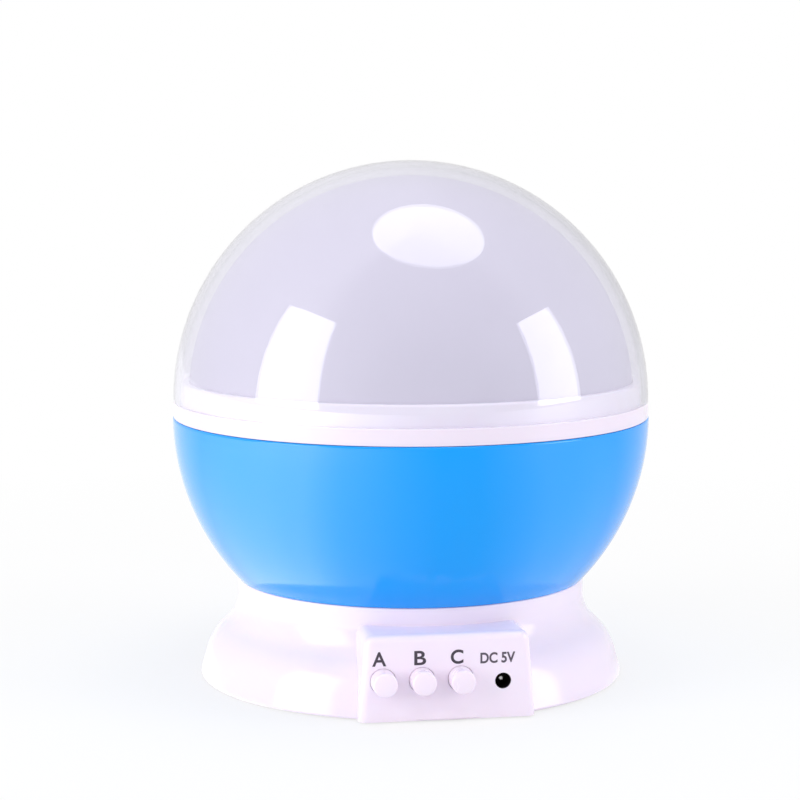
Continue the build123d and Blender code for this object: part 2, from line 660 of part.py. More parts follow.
with BuildPart() as jack_pin:
    front_cylinder(JACK_X, JACK_Z, JACK_PIN_R, JACK_PIN_TIP_Y, JACK_FLOOR_Y)
    fillet(edges().sort_by(Axis.Y)[0], 0.25)
    front_cylinder(JACK_X, JACK_Z, JACK_ROOT_R, JACK_FLOOR_Y, JACK_ROOT_Y)
jack_pin.part.label = "jack_pin"
export_step(jack_pin.part, "parts/jack_pin.step")

# ---- Gear motor under the deck, held by a strap with two ears ----
with BuildPart() as gear_motor:
    upright_cylinder(0, MOTOR_Y, MOTOR_R, MOTOR_BOTTOM_Z, DECK_Z)
    fillet(edges().group_by(Axis.Z)[0], 0.6)
    upright_cylinder(0, MOTOR_Y, SHAFT_R + RUN_GAP, SHAFT_Z - 0.2, DECK_Z, mode=Mode.SUBTRACT)
gear_motor.part.label = "gear_motor"
export_step(gear_motor.part, "parts/gear_motor.step")

with BuildPart() as motor_strap:
    with BuildSketch(Plane.XY.offset(STRAP_Z)):
        with Locations((0, MOTOR_Y)):
            SlotCenterToCenter(2 * STRAP_SCREW_X, STRAP_WIDTH)
            Circle(MOTOR_R + STRAP_THICK)
            Circle(MOTOR_R, mode=Mode.SUBTRACT)
        with Locations((-STRAP_SCREW_X, MOTOR_Y), (STRAP_SCREW_X, MOTOR_Y)):
            Circle(SMALL_PILOT_R, mode=Mode.SUBTRACT)
    extrude(amount=STRAP_THICK)
motor_strap.part.label = "motor_strap"
export_step(motor_strap.part, "parts/motor_strap.step")

with BuildPart() as motor_screws:
    screws(
        [Plane((x, MOTOR_Y, STRAP_Z), z_dir=(0, 0, -1)) for x in (-STRAP_SCREW_X, STRAP_SCREW_X)],
        SMALL_HEAD_R,
        SMALL_HEAD,
        SMALL_PILOT_R,
        SMALL_SCREW,
    )
motor_screws.part.label = "motor_screws"
export_step(motor_screws.part, "parts/motor_screws.step")

# ---- Motor shaft and the pinion pressed on it ----
with BuildPart() as motor_shaft:
    upright_cylinder(0, MOTOR_Y, SHAFT_R, SHAFT_Z, SHAFT_TOP_Z)
motor_shaft.part.label = "motor_shaft"
export_step(motor_shaft.part, "parts/motor_shaft.step")

with BuildPart() as motor_pinion:
    toothed_disc(0, MOTOR_Y, MOTOR_PINION_Z, MOTOR_PINION_TOP_Z, PINION_TEETH, PROFILE_SHIFT,
                 MOTOR_BEARING + 180)
    upright_cylinder(0, MOTOR_Y, SHAFT_R, MOTOR_PINION_Z, MOTOR_PINION_TOP_Z, mode=Mode.SUBTRACT)
motor_pinion.part.label = "motor_pinion"
export_step(motor_pinion.part, "parts/motor_pinion.step")

# ---- Idler: a wheel that the motor drives, and a pinion above it that drives the ring gear ----
with BuildPart() as idler_gear:
    toothed_disc(IDLER_X, IDLER_Y, WHEEL_Z, WHEEL_TOP_Z, WHEEL_TEETH, -PROFILE_SHIFT,
                 MOTOR_BEARING + 180 / WHEEL_TEETH)
    toothed_disc(IDLER_X, IDLER_Y, WHEEL_TOP_Z, IDLER_TOP_Z, PINION_TEETH, PROFILE_SHIFT, IDLER_ANGLE + 180)
    with BuildSketch(Plane((IDLER_X, IDLER_Y, WHEEL_Z))):
        with PolarLocations(WHEEL_HOLE_RING_R, WHEEL_HOLE_COUNT):
            Circle(WHEEL_HOLE_R)
    extrude(amount=WHEEL_TOP_Z - WHEEL_Z, mode=Mode.SUBTRACT)
    upright_cylinder(IDLER_X, IDLER_Y, AXLE_R + RUN_GAP, WHEEL_Z, IDLER_TOP_Z, mode=Mode.SUBTRACT)
idler_gear.part.label = "idler_gear"
export_step(idler_gear.part, "parts/idler_gear.step")

with BuildPart() as idler_axle:
    upright_cylinder(IDLER_X, IDLER_Y, AXLE_R, DECK_Z, AXLE_TOP_Z)
    fillet(edges().group_by(Axis.Z)[-1], 0.25)
idler_axle.part.label = "idler_axle"
export_step(idler_axle.part, "parts/idler_axle.step")

# ---- Bearing parts on the stub ----
with BuildPart() as thrust_washer:
    washer(THRUST_R, STUB_R + 2 * RUN_GAP, DECK_TOP_Z, DECK_TOP_Z + THRUST_THICK)
thrust_washer.part.label = "thrust_washer"
export_step(thrust_washer.part, "parts/thrust_washer.step")

with BuildPart() as hub_bush:
    upright_cylinder(0, 0, BUSH_R, HUB_BOTTOM_Z, BUSH_TOP_Z)
    upright_cylinder(0, 0, HUB_R, BUSH_BOTTOM_Z, HUB_BOTTOM_Z)
    upright_cylinder(0, 0, STUB_R + RUN_GAP, BUSH_BOTTOM_Z, BUSH_TOP_Z, mode=Mode.SUBTRACT)
hub_bush.part.label = "hub_bush"
export_step(hub_bush.part, "parts/hub_bush.step")

with BuildPart() as retaining_clip:
    washer(CLIP_R, GROOVE_R, CLIP_Z, CLIP_Z + CLIP_THICK)
    box_between((-CLIP_SLOT_HALF, -CLIP_R, CLIP_Z), (CLIP_SLOT_HALF, 0, CLIP_Z + CLIP_THICK),
                mode=Mode.SUBTRACT)
retaining_clip.part.label = "retaining_clip"
export_step(retaining_clip.part, "parts/retaining_clip.step")

# ---- LED mast, pushed into the stub, with the LED board on its head ----
with BuildPart() as led_mast:
    upright_cylinder(0, 0, MAST_R, DECK_Z, MAST_TOP_Z)
    upright_cylinder(0, 0, MAST_COLLAR_R, STUB_TOP_Z, STUB_TOP_Z + MAST_FLANGE)
    upright_cylinder(0, 0, MAST_HEAD_R, MAST_TOP_Z - MAST_FLANGE, MAST_TOP_Z)
    upright_cylinder(0, 0, MAST_BORE_R, DECK_Z, MAST_TOP_Z, mode=Mode.SUBTRACT)
led_mast.part.label = "led_mast"
export_step(led_mast.part, "parts/led_mast.step")

with BuildPart() as led_board:
    upright_cylinder(0, 0, LED_BOARD_R, MAST_TOP_Z, MAST_TOP_Z + LED_BOARD_THICK)
led_board.part.label = "led_board"
export_step(led_board.part, "parts/led_board.step")

with BuildPart() as leds:
    with BuildSketch(Plane.XY.offset(MAST_TOP_Z + LED_BOARD_THICK)):
        with PolarLocations(LED_RING_R, 4, start_angle=45):
            Circle(LED_R)
    extrude(amount=LED_HEIGHT)
    fillet(edges().group_by(Axis.Z)[-1], LED_R - 0.1)
leds.part.label = "leds"
export_step(leds.part, "parts/leds.step")

# ---- Wires inside the base ----
with BuildPart() as led_leads:
    leads(
        [
            [
                (x, BOARD_BACK_Y, 12.0),
                (x, -34.0, 12.0),
                (x, -27.0, 15.05),
                (x, 0, 15.05),
                (x, 0, MAST_TOP_Z),
            ]
            for x in (-1.8, -0.6, 0.6, 1.8)
        ],
        [8.0, 8.0, 2.4],
    )
led_leads.part.label = "led_leads"
export_step(led_leads.part, "parts/led_leads.step")

with BuildPart() as battery_leads:
    leads(
        [
            [
                (x, BOARD_BACK_Y, 11.5),
                (x, -35.5, 11.5),
                (x - 6.0, -29.0, 9.0),
                (x - 6.0, -BAY_OUT_Y, 9.0),
            ]
            for x in (-14.6, -12.8)
        ],
        [4.0, 4.0],
    )
battery_leads.part.label = "battery_leads"
export_step(battery_leads.part, "parts/battery_leads.step")

with BuildPart() as motor_leads:
    leads(
        [
            [
                (11.0, BOARD_BACK_Y, 10.4 + rise),
                (11.0, -35.0, 10.4 + rise),
                (30.5, -26.0, 10.0 + rise),
                (30.5, 19.0, 8.0 + rise),
                (20.0, MOTOR_Y, 5.8 + rise),
                (MOTOR_R, MOTOR_Y, 5.8 + rise),
            ]
            for rise in (-0.6, 0.6)
        ],
        [4.0, 9.0, 9.0, 4.0],
    )
motor_leads.part.label = "motor_leads"
export_step(motor_leads.part, "parts/motor_leads.step")

# ---- Bowl: lower half of the ball, with its hub, ribs and screw bosses ----
with BuildPart() as bowl:
    with Locations((0, 0, BALL_Z)):
        Sphere(BALL_R)
    split(bisect_by=Plane.XY.offset(BOWL_RIM_Z), keep=Keep.BOTTOM)
    split(bisect_by=Plane.XY.offset(BOWL_BOTTOM_Z), keep=Keep.TOP)
    with BuildSketch(Plane.XZ):
        with BuildLine():
            hollow_r = BALL_R - BOWL_WALL
            floor_z = BOWL_BOTTOM_Z + BOWL_FLOOR
            start = degrees(asin((floor_z - BALL_Z) / hollow_r))
            rim = degrees(asin((BOWL_RIM_Z - BALL_Z) / hollow_r))
            hollow = CenterArc((0, BALL_Z), hollow_r, start, rim - start)
            Polyline(hollow @ 0, (0, floor_z), (0, BOWL_RIM_Z), hollow @ 1)
        make_face()
    revolve(axis=Axis.Z, mode=Mode.SUBTRACT)
    upright_cylinder(0, 0, HUB_R, HUB_BOTTOM_Z, HUB_TOP_Z)
    for index in range(RIB_COUNT):
        with Locations(Rot(0, 0, 360 * (index + 0.5) / RIB_COUNT)):
            box_between((RIB_START_R, -RIB_THICK / 2, floor_z), (RIB_END_R, RIB_THICK / 2, RIB_TOP_Z))
    with BuildSketch(Plane.XY.offset(CARRIER_BOSS_Z)):
        with PolarLocations(CARRIER_SCREW_R, 4, start_angle=45):
            Circle(CARRIER_BOSS_R)
    extrude(amount=CARRIER_Z - CARRIER_BOSS_Z)
    with BuildSketch(Plane.XY.offset(CARRIER_Z)):
        with PolarLocations(CARRIER_SCREW_R, 4, start_angle=45):
            Circle(SMALL_PILOT_R)
    extrude(amount=-SMALL_SCREW_LONG, mode=Mode.SUBTRACT)
    upright_cylinder(0, 0, BUSH_R, HUB_BOTTOM_Z, HUB_TOP_Z, mode=Mode.SUBTRACT)
bowl.part.label = "bowl"
export_step(bowl.part, "parts/bowl.step")

# ---- Ring gear under the bowl's floor, with its three screws ----
with BuildPart() as ring_gear:
    toothed_disc(0, 0, RING_GEAR_Z, BOWL_BOTTOM_Z, RING_TEETH, -PROFILE_SHIFT,
                 IDLER_ANGLE + 180 / RING_TEETH)
    upright_cylinder(0, 0, RING_BORE_R, RING_GEAR_Z, BOWL_BOTTOM_Z, mode=Mode.SUBTRACT)
    with BuildSketch(Plane.XY.offset(RING_GEAR_Z)):
        with PolarLocations(RING_SCREW_R, 3, start_angle=0):
            Circle(SMALL_PILOT_R)
    extrude(amount=BOWL_BOTTOM_Z - RING_GEAR_Z, mode=Mode.SUBTRACT)
ring_gear.part.label = "ring_gear"
export_step(ring_gear.part, "parts/ring_gear.step")

with BuildPart() as ring_gear_screws:
    screws(
        [
            Plane((*polar(RING_SCREW_R, 2 * pi * index / 3), RING_GEAR_Z), z_dir=(0, 0, -1))
            for index in range(3)
        ],
        SMALL_HEAD_R,
        SMALL_HEAD,
        SMALL_PILOT_R,
        BOWL_BOTTOM_Z - RING_GEAR_Z,
    )
ring_gear_screws.part.label = "ring_gear_screws"
export_step(ring_gear_screws.part, "parts/ring_gear_screws.step")

# ---- Mask carrier: a flat ring inside the bowl's rim ----
with BuildPart() as mask_carrier:
    with BuildSketch(Plane.XY.offset(CARRIER_Z)):
        Circle(CARRIER_R)
        Circle(MASK_R - MASK_WALL, mode=Mode.SUBTRACT)
        with PolarLocations(CARRIER_SCREW_R, 4, start_angle=45):
            Circle(SMALL_PILOT_R, mode=Mode.SUBTRACT)
    extrude(amount=CARRIER_THICK)
    with BuildSketch(Plane.XY.offset(CARRIER_Z)):
        with PolarLocations(MASK_SCREW_R, 4):
            Circle(MASK_BOSS_R)
    extrude(amount=-MASK_BOSS)
    with BuildSketch(Plane.XY.offset(CARRIER_TOP_Z)):
        with PolarLocations(MASK_SCREW_R, 4):
            Circle(SMALL_PILOT_R)
    extrude(amount=-(CARRIER_THICK + MASK_BOSS), mode=Mode.SUBTRACT)
mask_carrier.part.label = "mask_carrier"
export_step(mask_carrier.part, "parts/mask_carrier.step")

with BuildPart() as carrier_screws:
    screws(
        [
            Plane((*polar(CARRIER_SCREW_R, radians(45 + 90 * index)), CARRIER_TOP_Z))
            for index in range(4)
        ],
        SMALL_HEAD_R,
        SMALL_HEAD,
        SMALL_PILOT_R,
        SMALL_SCREW_LONG,
    )
carrier_screws.part.label = "carrier_screws"
export_step(carrier_screws.part, "parts/carrier_screws.step")

# ---- Star mask: a dark dome cut through with stars, a moon and dots ----
def star_points(radius):
    """Return the corners of a five-pointed star."""
    corners = []
    for corner in range(10):
        reach = radius if corner % 2 == 0 else radius * STAR_POINT_RATIO
        corners.append(polar(reach, radians(90 + 36 * corner)))
    return corners


def dome_plane(azimuth, elevation):
    """Return a plane that touches the mask's dome, its normal pointing outwards."""
    flat = cos(radians(elevation))
    out = Vector(flat * cos(radians(azimuth)), flat * sin(radians(azimuth)), sin(radians(elevation)))
    side = Vector(-sin(radians(azimuth)), cos(radians(azimuth)), 0)
    return Plane(Vector(0, 0, BALL_Z) + out * MASK_R, x_dir=side, z_dir=out)


with BuildPart() as star_mask:
    dome_shell(MASK_R, BALL_Z, MASK_WALL, BALL_Z)
    upright_cylinder(0, 0, MASK_R, CARRIER_TOP_Z, BALL_Z)
    upright_cylinder(0, 0, MASK_FLANGE_R, CARRIER_TOP_Z, MASK_FLANGE_TOP_Z)
    upright_cylinder(0, 0, MASK_R - MASK_WALL, CARRIER_TOP_Z, BALL_Z, mode=Mode.SUBTRACT)
    with BuildSketch(Plane.XY.offset(CARRIER_TOP_Z)):
        with PolarLocations(MASK_SCREW_R, 4):
            Circle(SMALL_PILOT_R)
    extrude(amount=MASK_FLANGE, mode=Mode.SUBTRACT)
    for row in range(STAR_ROWS):
        elevation = 10 + 15 * row
        count = round(13 * cos(radians(elevation)))
        turn = 360 / count
        big = [dome_plane(turn * (index + 0.5 * (row % 2)), elevation) for index in range(count)]
        small = [dome_plane(turn * (index + 0.5 + 0.5 * (row % 2)), elevation + 6) for index in range(count)]
        with BuildSketch(*big):
            Polygon(*star_points(STAR_R if row % 2 == 0 else SMALL_STAR_R), align=None)
        extrude(amount=CUT_DEPTH, both=True, mode=Mode.SUBTRACT)
        with BuildSketch(*small):
            Circle(DOT_R)
        extrude(amount=CUT_DEPTH, both=True, mode=Mode.SUBTRACT)
    with BuildSketch(dome_plane(-90, 88)):
        Circle(MOON_R)
        with Locations((MOON_R * 0.41, MOON_R * 0.13)):
            Circle(MOON_R * 0.85, mode=Mode.SUBTRACT)
    extrude(amount=CUT_DEPTH, both=True, mode=Mode.SUBTRACT)
star_mask.part.label = "star_mask"
export_step(star_mask.part, "parts/star_mask.step")

with BuildPart() as mask_screws:
    screws(
        [Plane((*polar(MASK_SCREW_R, radians(90 * index)), MASK_FLANGE_TOP_Z)) for index in range(4)],
        SMALL_HEAD_R,
        SMALL_HEAD,
        SMALL_PILOT_R,
        SMALL_SCREW,
    )
mask_screws.part.label = "mask_screws"
export_step(mask_screws.part, "parts/mask_screws.step")

# ---- Cover ring: outer band, upstand inside the clear dome, diffuser seat and plug-in skirt ----
skirt_inner_r = SKIRT_R - SKIRT_WALL
seat_low_z = DIFFUSER_SEAT_Z - SEAT_THICK
with BuildPart() as cover_ring:
    with BuildSketch(Plane.XZ):
        with BuildLine():
            Polyline(
                (SKIRT_R, SKIRT_BOTTOM_Z),
                (SKIRT_R, BALL_Z),
                (CLEAR_R, BALL_Z),
                (CLEAR_R, CLEAR_Z),
                (RING_LIP_R, CLEAR_Z),
                (RING_LIP_R, RING_TOP_Z),
                (DIFFUSER_R + SEAT_GAP, RING_TOP_Z),
                (DIFFUSER_R + SEAT_GAP, DIFFUSER_SEAT_Z),
                (SEAT_R, DIFFUSER_SEAT_Z),
                (SEAT_R, seat_low_z),
                (skirt_inner_r, seat_low_z - (skirt_inner_r - SEAT_R)),
                (skirt_inner_r, SKIRT_BOTTOM_Z),
                close=True,
            )
        make_face()
    revolve(axis=Axis.Z)
    fillet(edges().filter_by(GeomType.CIRCLE).group_by(Axis.Z)[-1].sort_by(SortBy.LENGTH)[-1], 0.7)
cover_ring.part.label = "cover_ring"
export_step(cover_ring.part, "parts/cover_ring.step")

# ---- Diffuser dome inside, clear dome outside ----
with BuildPart() as diffuser_dome:
    dome_shell(DIFFUSER_R, DIFFUSER_Z, DIFFUSER_WALL, DIFFUSER_SEAT_Z)
diffuser_dome.part.label = "diffuser_dome"
export_step(diffuser_dome.part, "parts/diffuser_dome.step")

with BuildPart() as clear_dome:
    dome_shell(CLEAR_R, CLEAR_Z, CLEAR_WALL, CLEAR_Z)
clear_dome.part.label = "clear_dome"
export_step(clear_dome.part, "parts/clear_dome.step")
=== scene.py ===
"""Star night light projector: fine meshes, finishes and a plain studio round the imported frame."""

from __future__ import annotations

import json
import logging
import math
from dataclasses import dataclass
from enum import Enum
from typing import Iterable, Sequence

import bmesh
import bpy
from mathutils import Matrix, Vector

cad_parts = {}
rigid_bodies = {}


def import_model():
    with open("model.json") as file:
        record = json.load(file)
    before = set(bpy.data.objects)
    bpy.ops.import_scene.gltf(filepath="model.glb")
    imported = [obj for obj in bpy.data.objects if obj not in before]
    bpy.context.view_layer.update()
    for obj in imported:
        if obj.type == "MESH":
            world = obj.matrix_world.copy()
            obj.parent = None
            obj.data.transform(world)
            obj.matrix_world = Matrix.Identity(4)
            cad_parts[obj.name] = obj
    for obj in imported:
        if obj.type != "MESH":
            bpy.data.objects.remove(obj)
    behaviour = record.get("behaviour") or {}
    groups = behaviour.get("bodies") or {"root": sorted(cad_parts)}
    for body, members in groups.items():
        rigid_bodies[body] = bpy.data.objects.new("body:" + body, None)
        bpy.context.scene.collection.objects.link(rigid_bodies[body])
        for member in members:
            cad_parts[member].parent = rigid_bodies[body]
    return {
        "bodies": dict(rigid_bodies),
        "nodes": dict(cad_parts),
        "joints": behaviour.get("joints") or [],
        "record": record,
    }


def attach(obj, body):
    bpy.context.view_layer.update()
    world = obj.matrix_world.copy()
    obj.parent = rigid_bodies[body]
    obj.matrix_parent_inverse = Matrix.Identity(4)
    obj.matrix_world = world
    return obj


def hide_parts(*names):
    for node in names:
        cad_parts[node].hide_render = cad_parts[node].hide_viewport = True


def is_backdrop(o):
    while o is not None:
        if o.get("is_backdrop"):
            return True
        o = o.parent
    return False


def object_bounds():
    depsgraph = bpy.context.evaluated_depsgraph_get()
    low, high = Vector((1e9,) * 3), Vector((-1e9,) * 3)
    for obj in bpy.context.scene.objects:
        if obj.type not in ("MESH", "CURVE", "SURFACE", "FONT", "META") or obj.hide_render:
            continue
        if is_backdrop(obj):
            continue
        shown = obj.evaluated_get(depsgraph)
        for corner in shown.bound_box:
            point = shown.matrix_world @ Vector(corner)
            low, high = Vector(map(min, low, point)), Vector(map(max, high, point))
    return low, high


MM = 0.001
WELD = 0.002 * MM
SLIVER = 0.001 * MM
SUNK = 0.4  # how far a joined solid reaches into its neighbour, in millimetres
PAST = 1.0  # how far a cutter reaches past what it opens, in millimetres
LOG = logging.getLogger("star_projector")

Piece = bpy.types.Object
Socket = bpy.types.NodeSocket
Point = tuple[float, float]
Rgb = tuple[float, float, float]


class Body(str, Enum):
    """The moving bodies that pieces ride on."""

    BASE = "base"
    ROTOR = "rotor"
    COVER = "cover"
    BUTTON_A = "button_a"
    BUTTON_B = "button_b"
    BUTTON_C = "button_c"


class Cut(str, Enum):
    """How one solid changes another."""

    JOIN = "UNION"
    REMOVE = "DIFFERENCE"


class Face(str, Enum):
    """The shapes of a soft box's face."""

    ROUND = "DISK"
    SQUARE = "RECTANGLE"


class Ray(str, Enum):
    """The kinds of light path that studio surfaces tell apart."""

    CAMERA = "Is Camera Ray"
    GLOSSY = "Is Glossy Ray"
    TRANSMISSION = "Is Transmission Ray"
    DIFFUSE = "Is Diffuse Ray"
    SHADOW = "Is Shadow Ray"


# ---------------------------------------------------------------- colours


def channel(value: float) -> float:
    """Return one display channel, 0 to 255, as linear light."""
    part = value / 255
    return part / 12.92 if part <= 0.04045 else ((part + 0.055) / 1.055) ** 2.4


def shade(red: float, green: float, blue: float) -> Rgb:
    """Return a display colour, each part 0 to 255, as linear light."""
    return (channel(red), channel(green), channel(blue))


def scaled(colour: Rgb, factor: float) -> Rgb:
    """Return a colour made darker or lighter by a factor."""
    return (colour[0] * factor, colour[1] * factor, colour[2] * factor)


# ---------------------------------------------------------------- finishes


class Recipe:
    """A material's or the surround's node tree, with short ways to add and feed its nodes."""

    def __init__(self, owner: bpy.types.Material | bpy.types.World) -> None:
        """Start an empty tree with an output.

        Args:
            owner: The material or world.
        """
        owner.use_nodes = True
        self.owner = owner
        self.tree = owner.node_tree
        self.tree.nodes.clear()
        self.output = self.add("OutputWorld" if isinstance(owner, bpy.types.World) else "OutputMaterial")

    def add(self, kind: str, **inputs: object) -> bpy.types.Node:
        """Add a node and feed its inputs.

        Args:
            kind: Blender's name for the node type, after its first word, ShaderNode.
            **inputs: A socket or a plain value for each input, with _ for each space in its name.

        Returns:
            The new node.
        """
        node = self.tree.nodes.new("ShaderNode" + kind)
        for name, value in inputs.items():
            self.feed(value, node.inputs[name.replace("_", " ")])
        return node

    def feed(self, value: object, target: Socket) -> None:
        """Link a socket to an input, or set a plain value on it.

        Args:
            value: The socket, number, vector or colour.
            target: The input.
        """
        if isinstance(value, Socket):
            self.tree.links.new(value, target)
        else:
            target.default_value = (*value, 1) if target.type == "RGBA" else value

    def place(self) -> Socket:
        """Return the piece's own coordinates, in metres."""
        return self.add("TexCoord").outputs["Object"]

    def along(self, place: Socket, axis: str) -> Socket:
        """Return how far a place lies along an axis."""
        return self.add("SeparateXYZ", Vector=place).outputs[axis]

    def math(self, operation: str, first: Socket, second: Socket | float = 0.0) -> Socket:
        """Do one sum on each value of a socket.

        Args:
            operation: Blender's name for the operation.
            first: The first value.
            second: The second value, where the operation has one.

        Returns:
            The result's socket.
        """
        node = self.add("Math")
        node.operation = operation
        self.feed(first, node.inputs[0])
        self.feed(second, node.inputs[1])
        return node.outputs[0]

    def seen(self, *rays: Ray) -> Socket:
        """Tell the given kinds of ray from the others.

        Args:
            *rays: The kinds of ray.

        Returns:
            A socket that is 1 for those rays and 0 for the others.
        """
        path = self.add("LightPath")
        total = path.outputs[rays[0].value]
        for ray in rays[1:]:
            total = self.math("MAXIMUM", total, path.outputs[ray.value])
        return total

    def noise(self, size: float, detail: float = 3.0, stretch: Sequence[float] | None = None) -> Socket:
        """Add cloudy noise.

        Args:
            size: The size of its larger blobs in metres.
            detail: How many finer layers it has.
            stretch: A factor for each axis, or None for even noise.

        Returns:
            The noise's value socket, 0 to 1.
        """
        source = self.place()
        if stretch is not None:
            source = self.add("Mapping", Vector=source, Scale=stretch).outputs["Vector"]
        return self.add("TexNoise", Vector=source, Scale=1 / size, Detail=detail).outputs["Fac"]

    def spread(self, value: Socket, low: float, high: float, start: float = 0.3,
               stop: float = 0.7) -> Socket:
        """Map a value from one range to another, held at the ends.

        Args:
            value: The socket to map.
            low: The result at start.
            high: The result at stop.
            start: Where the input range starts.
            stop: Where the input range stops.

        Returns:
            The mapped socket.
        """
        node = self.add("MapRange", Value=value, From_Min=start, From_Max=stop, To_Min=low, To_Max=high)
        return node.outputs["Result"]

    def blend(self, factor: Socket, first: Rgb | Socket, second: Rgb | Socket) -> Socket:
        """Mix two colours.

        Args:
            factor: 0 for the first colour, 1 for the second.
            first: The first colour.
            second: The second colour.

        Returns:
            The mixed colour's socket.
        """
        node = self.add("Mix")
        node.data_type = "RGBA"
        for index, value in ((0, factor), (6, first), (7, second)):
            self.feed(value, node.inputs[index])
        return node.outputs[2]

    def fade(self, colour: Rgb, share: float, size: float, detail: float = 3.0) -> Socket:
        """Return a colour that is darker by a share in cloudy places of a size."""
        return self.blend(self.spread(self.noise(size, detail), 0, 1), colour, scaled(colour, 1 - share))

    def either(self, factor: Socket, first: Socket, second: Socket) -> Socket:
        """Mix two shaders.

        Args:
            factor: 0 for the first shader, 1 for the second.
            first: The first shader.
            second: The second shader.

        Returns:
            The mixed shader's socket.
        """
        node = self.add("MixShader")
        for value, target in zip((factor, first, second), node.inputs):
            self.feed(value, target)
        return node.outputs[0]

    def relief(self, shader: bpy.types.Node, *layers: tuple[Socket, float]) -> Socket:
        """Give a shader fine relief from a stack of height fields.

        Args:
            shader: The surface shader.
            *layers: Pairs of a height socket and its depth in metres.

        Returns:
            The shader's socket.
        """
        target = shader.inputs["Normal"]
        for height, depth in reversed(layers):
            bump = self.add("Bump", Strength=1.0, Distance=depth, Height=height)
            self.feed(bump.outputs["Normal"], target)
            target = bump.inputs["Normal"]
        return shader.outputs[0]

    def surface(self, shader: Socket) -> bpy.types.Material | bpy.types.World:
        """Use a shader as the surface, and return the tree's owner."""
        self.feed(shader, self.output.inputs["Surface"])
        return self.owner


@dataclass(frozen=True)
class Finish:
    """A named finish. Each kind of finish mixes its own shader."""

    name: str

    def shader(self, recipe: Recipe) -> Socket:
        """Mix the finish's shader.

        Args:
            recipe: The recipe to mix it in.

        Returns:
            The shader's socket.
        """
        raise NotImplementedError

    def material(self) -> bpy.types.Material:
        """Return the finish as a new material."""
        recipe = Recipe(bpy.data.materials.new(self.name))
        return recipe.surface(self.shader(recipe))


@dataclass(frozen=True)
class MouldedPlastic(Finish):
    """Injection-moulded plastic with a faint flow pattern, soft waviness and fine handling marks.

    A painted light tone is a brighter copy of the colour that shows above a height, where the part stands
    under the clear dome; it is painted light that makes up for the light that the dome takes.
    """

    colour: Rgb
    drift: float = 0.03
    flow_size: float = 0.03
    gloss: tuple[float, float] = (0.10, 0.18)
    ior: float = 1.49
    wave: float = 0.00001
    wave_size: float = 0.009
    grain: float = 0.0000006
    grain_size: float = 0.0006
    mark_size: float = 0.0035
    mark_stretch: tuple[float, float, float] = (1.0, 1.0, 0.35)
    glow: float = 0.0
    glow_depth: float = 0.002
    painted_light_tone: Rgb | None = None
    painted_light_z: float = 0.0
    painted_light_edge: float = 0.0002

    def tone(self, recipe: Recipe) -> Socket:
        """Mix the plastic's colour, with its flow pattern and any part brightened by painted light.

        Args:
            recipe: The recipe to mix it in.

        Returns:
            The colour's socket.
        """
        colour = recipe.fade(self.colour, self.drift, self.flow_size, 4.0)
        if self.painted_light_tone is None:
            return colour
        # Above the height the colour turns to the brighter tone: painted light for the part under the clear
        # dome.
        low, high = self.painted_light_z - self.painted_light_edge, self.painted_light_z + self.painted_light_edge
        share = recipe.spread(recipe.along(recipe.place(), "Z"), 0, 1, low, high)
        return recipe.blend(share, colour, self.painted_light_tone)

    def shader(self, recipe: Recipe) -> Socket:
        """Mix the plastic's shader.

        Args:
            recipe: The recipe to mix it in.

        Returns:
            The shader's socket.
        """
        marks = recipe.noise(self.mark_size, 6.0, self.mark_stretch)
        surface = recipe.add("BsdfPrincipled", Base_Color=self.tone(recipe), IOR=self.ior,
                             Roughness=recipe.spread(marks, *self.gloss),
                             Subsurface_Weight=self.glow, Subsurface_Scale=self.glow_depth)
        return recipe.relief(surface, (recipe.noise(self.wave_size, 1.0), self.wave),
                             (recipe.noise(self.grain_size, 2.0), self.grain))


@dataclass(frozen=True)
class WireJacket(MouldedPlastic):
    """Soft insulation with a slightly dusty, uneven surface."""

    drift: float = 0.2
    gloss: tuple[float, float] = (0.4, 0.55)
    grain: float = 0.000004


@dataclass(frozen=True)
class ClearPlastic(Finish):
    """Polished see-through plastic that lets the lamps reach what is behind it."""

    colour: Rgb
    tint: Rgb
    depth: float
    roughness: float = 0.02
    smear_size: float = 0.006
    ior: float = 1.49
    haze: float = 0.015
    haze_size: float = 0.025
    wave: float = 0.000006
    wave_size: float = 0.03

    def shader(self, recipe: Recipe) -> Socket:
        """Mix the clear plastic's shader, and tint its body.

        Args:
            recipe: The recipe to mix it in.

        Returns:
            The shader's socket.
        """
        smears = recipe.noise(self.smear_size, 6.0)
        surface = recipe.add("BsdfPrincipled", IOR=self.ior, Transmission_Weight=1.0,
                             Base_Color=recipe.fade(self.colour, self.haze, self.haze_size),
                             Roughness=recipe.spread(smears, self.roughness * 0.5, self.roughness * 1.5))
        shader = recipe.relief(surface, (recipe.noise(self.wave_size, 1.0), self.wave))
        through = recipe.add("BsdfTransparent", Color=self.colour).outputs[0]
        for ray in (Ray.DIFFUSE, Ray.SHADOW):
            shader = recipe.either(recipe.seen(ray), shader, through)
        body = recipe.add("VolumeAbsorption", Density=self.depth, Color=self.tint)
        recipe.feed(body.outputs[0], recipe.output.inputs["Volume"])
        return shader


@dataclass(frozen=True)
class PlainMetal(Finish):
    """Drawn, plated or turned metal with fine marks along one axis."""

    colour: Rgb
    roughness: tuple[float, float] = (0.22, 0.38)
    stretch: tuple[float, float, float] = (1.0, 1.0, 0.1)
    stain: float = 0.14
    stain_size: float = 0.004
    mark_size: float = 0.0006
    mark_depth: float = 0.000004

    def shader(self, recipe: Recipe) -> Socket:
        """Mix the metal's shader.

        Args:
            recipe: The recipe to mix it in.

        Returns:
            The shader's socket.
        """
        marks = recipe.noise(self.mark_size, 5.0, self.stretch)
        surface = recipe.add("BsdfPrincipled", Metallic=1.0, Anisotropic=0.3,
                             Base_Color=recipe.fade(self.colour, self.stain, self.stain_size),
                             Roughness=recipe.spread(marks, *self.roughness))
        return recipe.relief(surface, (marks, self.mark_depth))


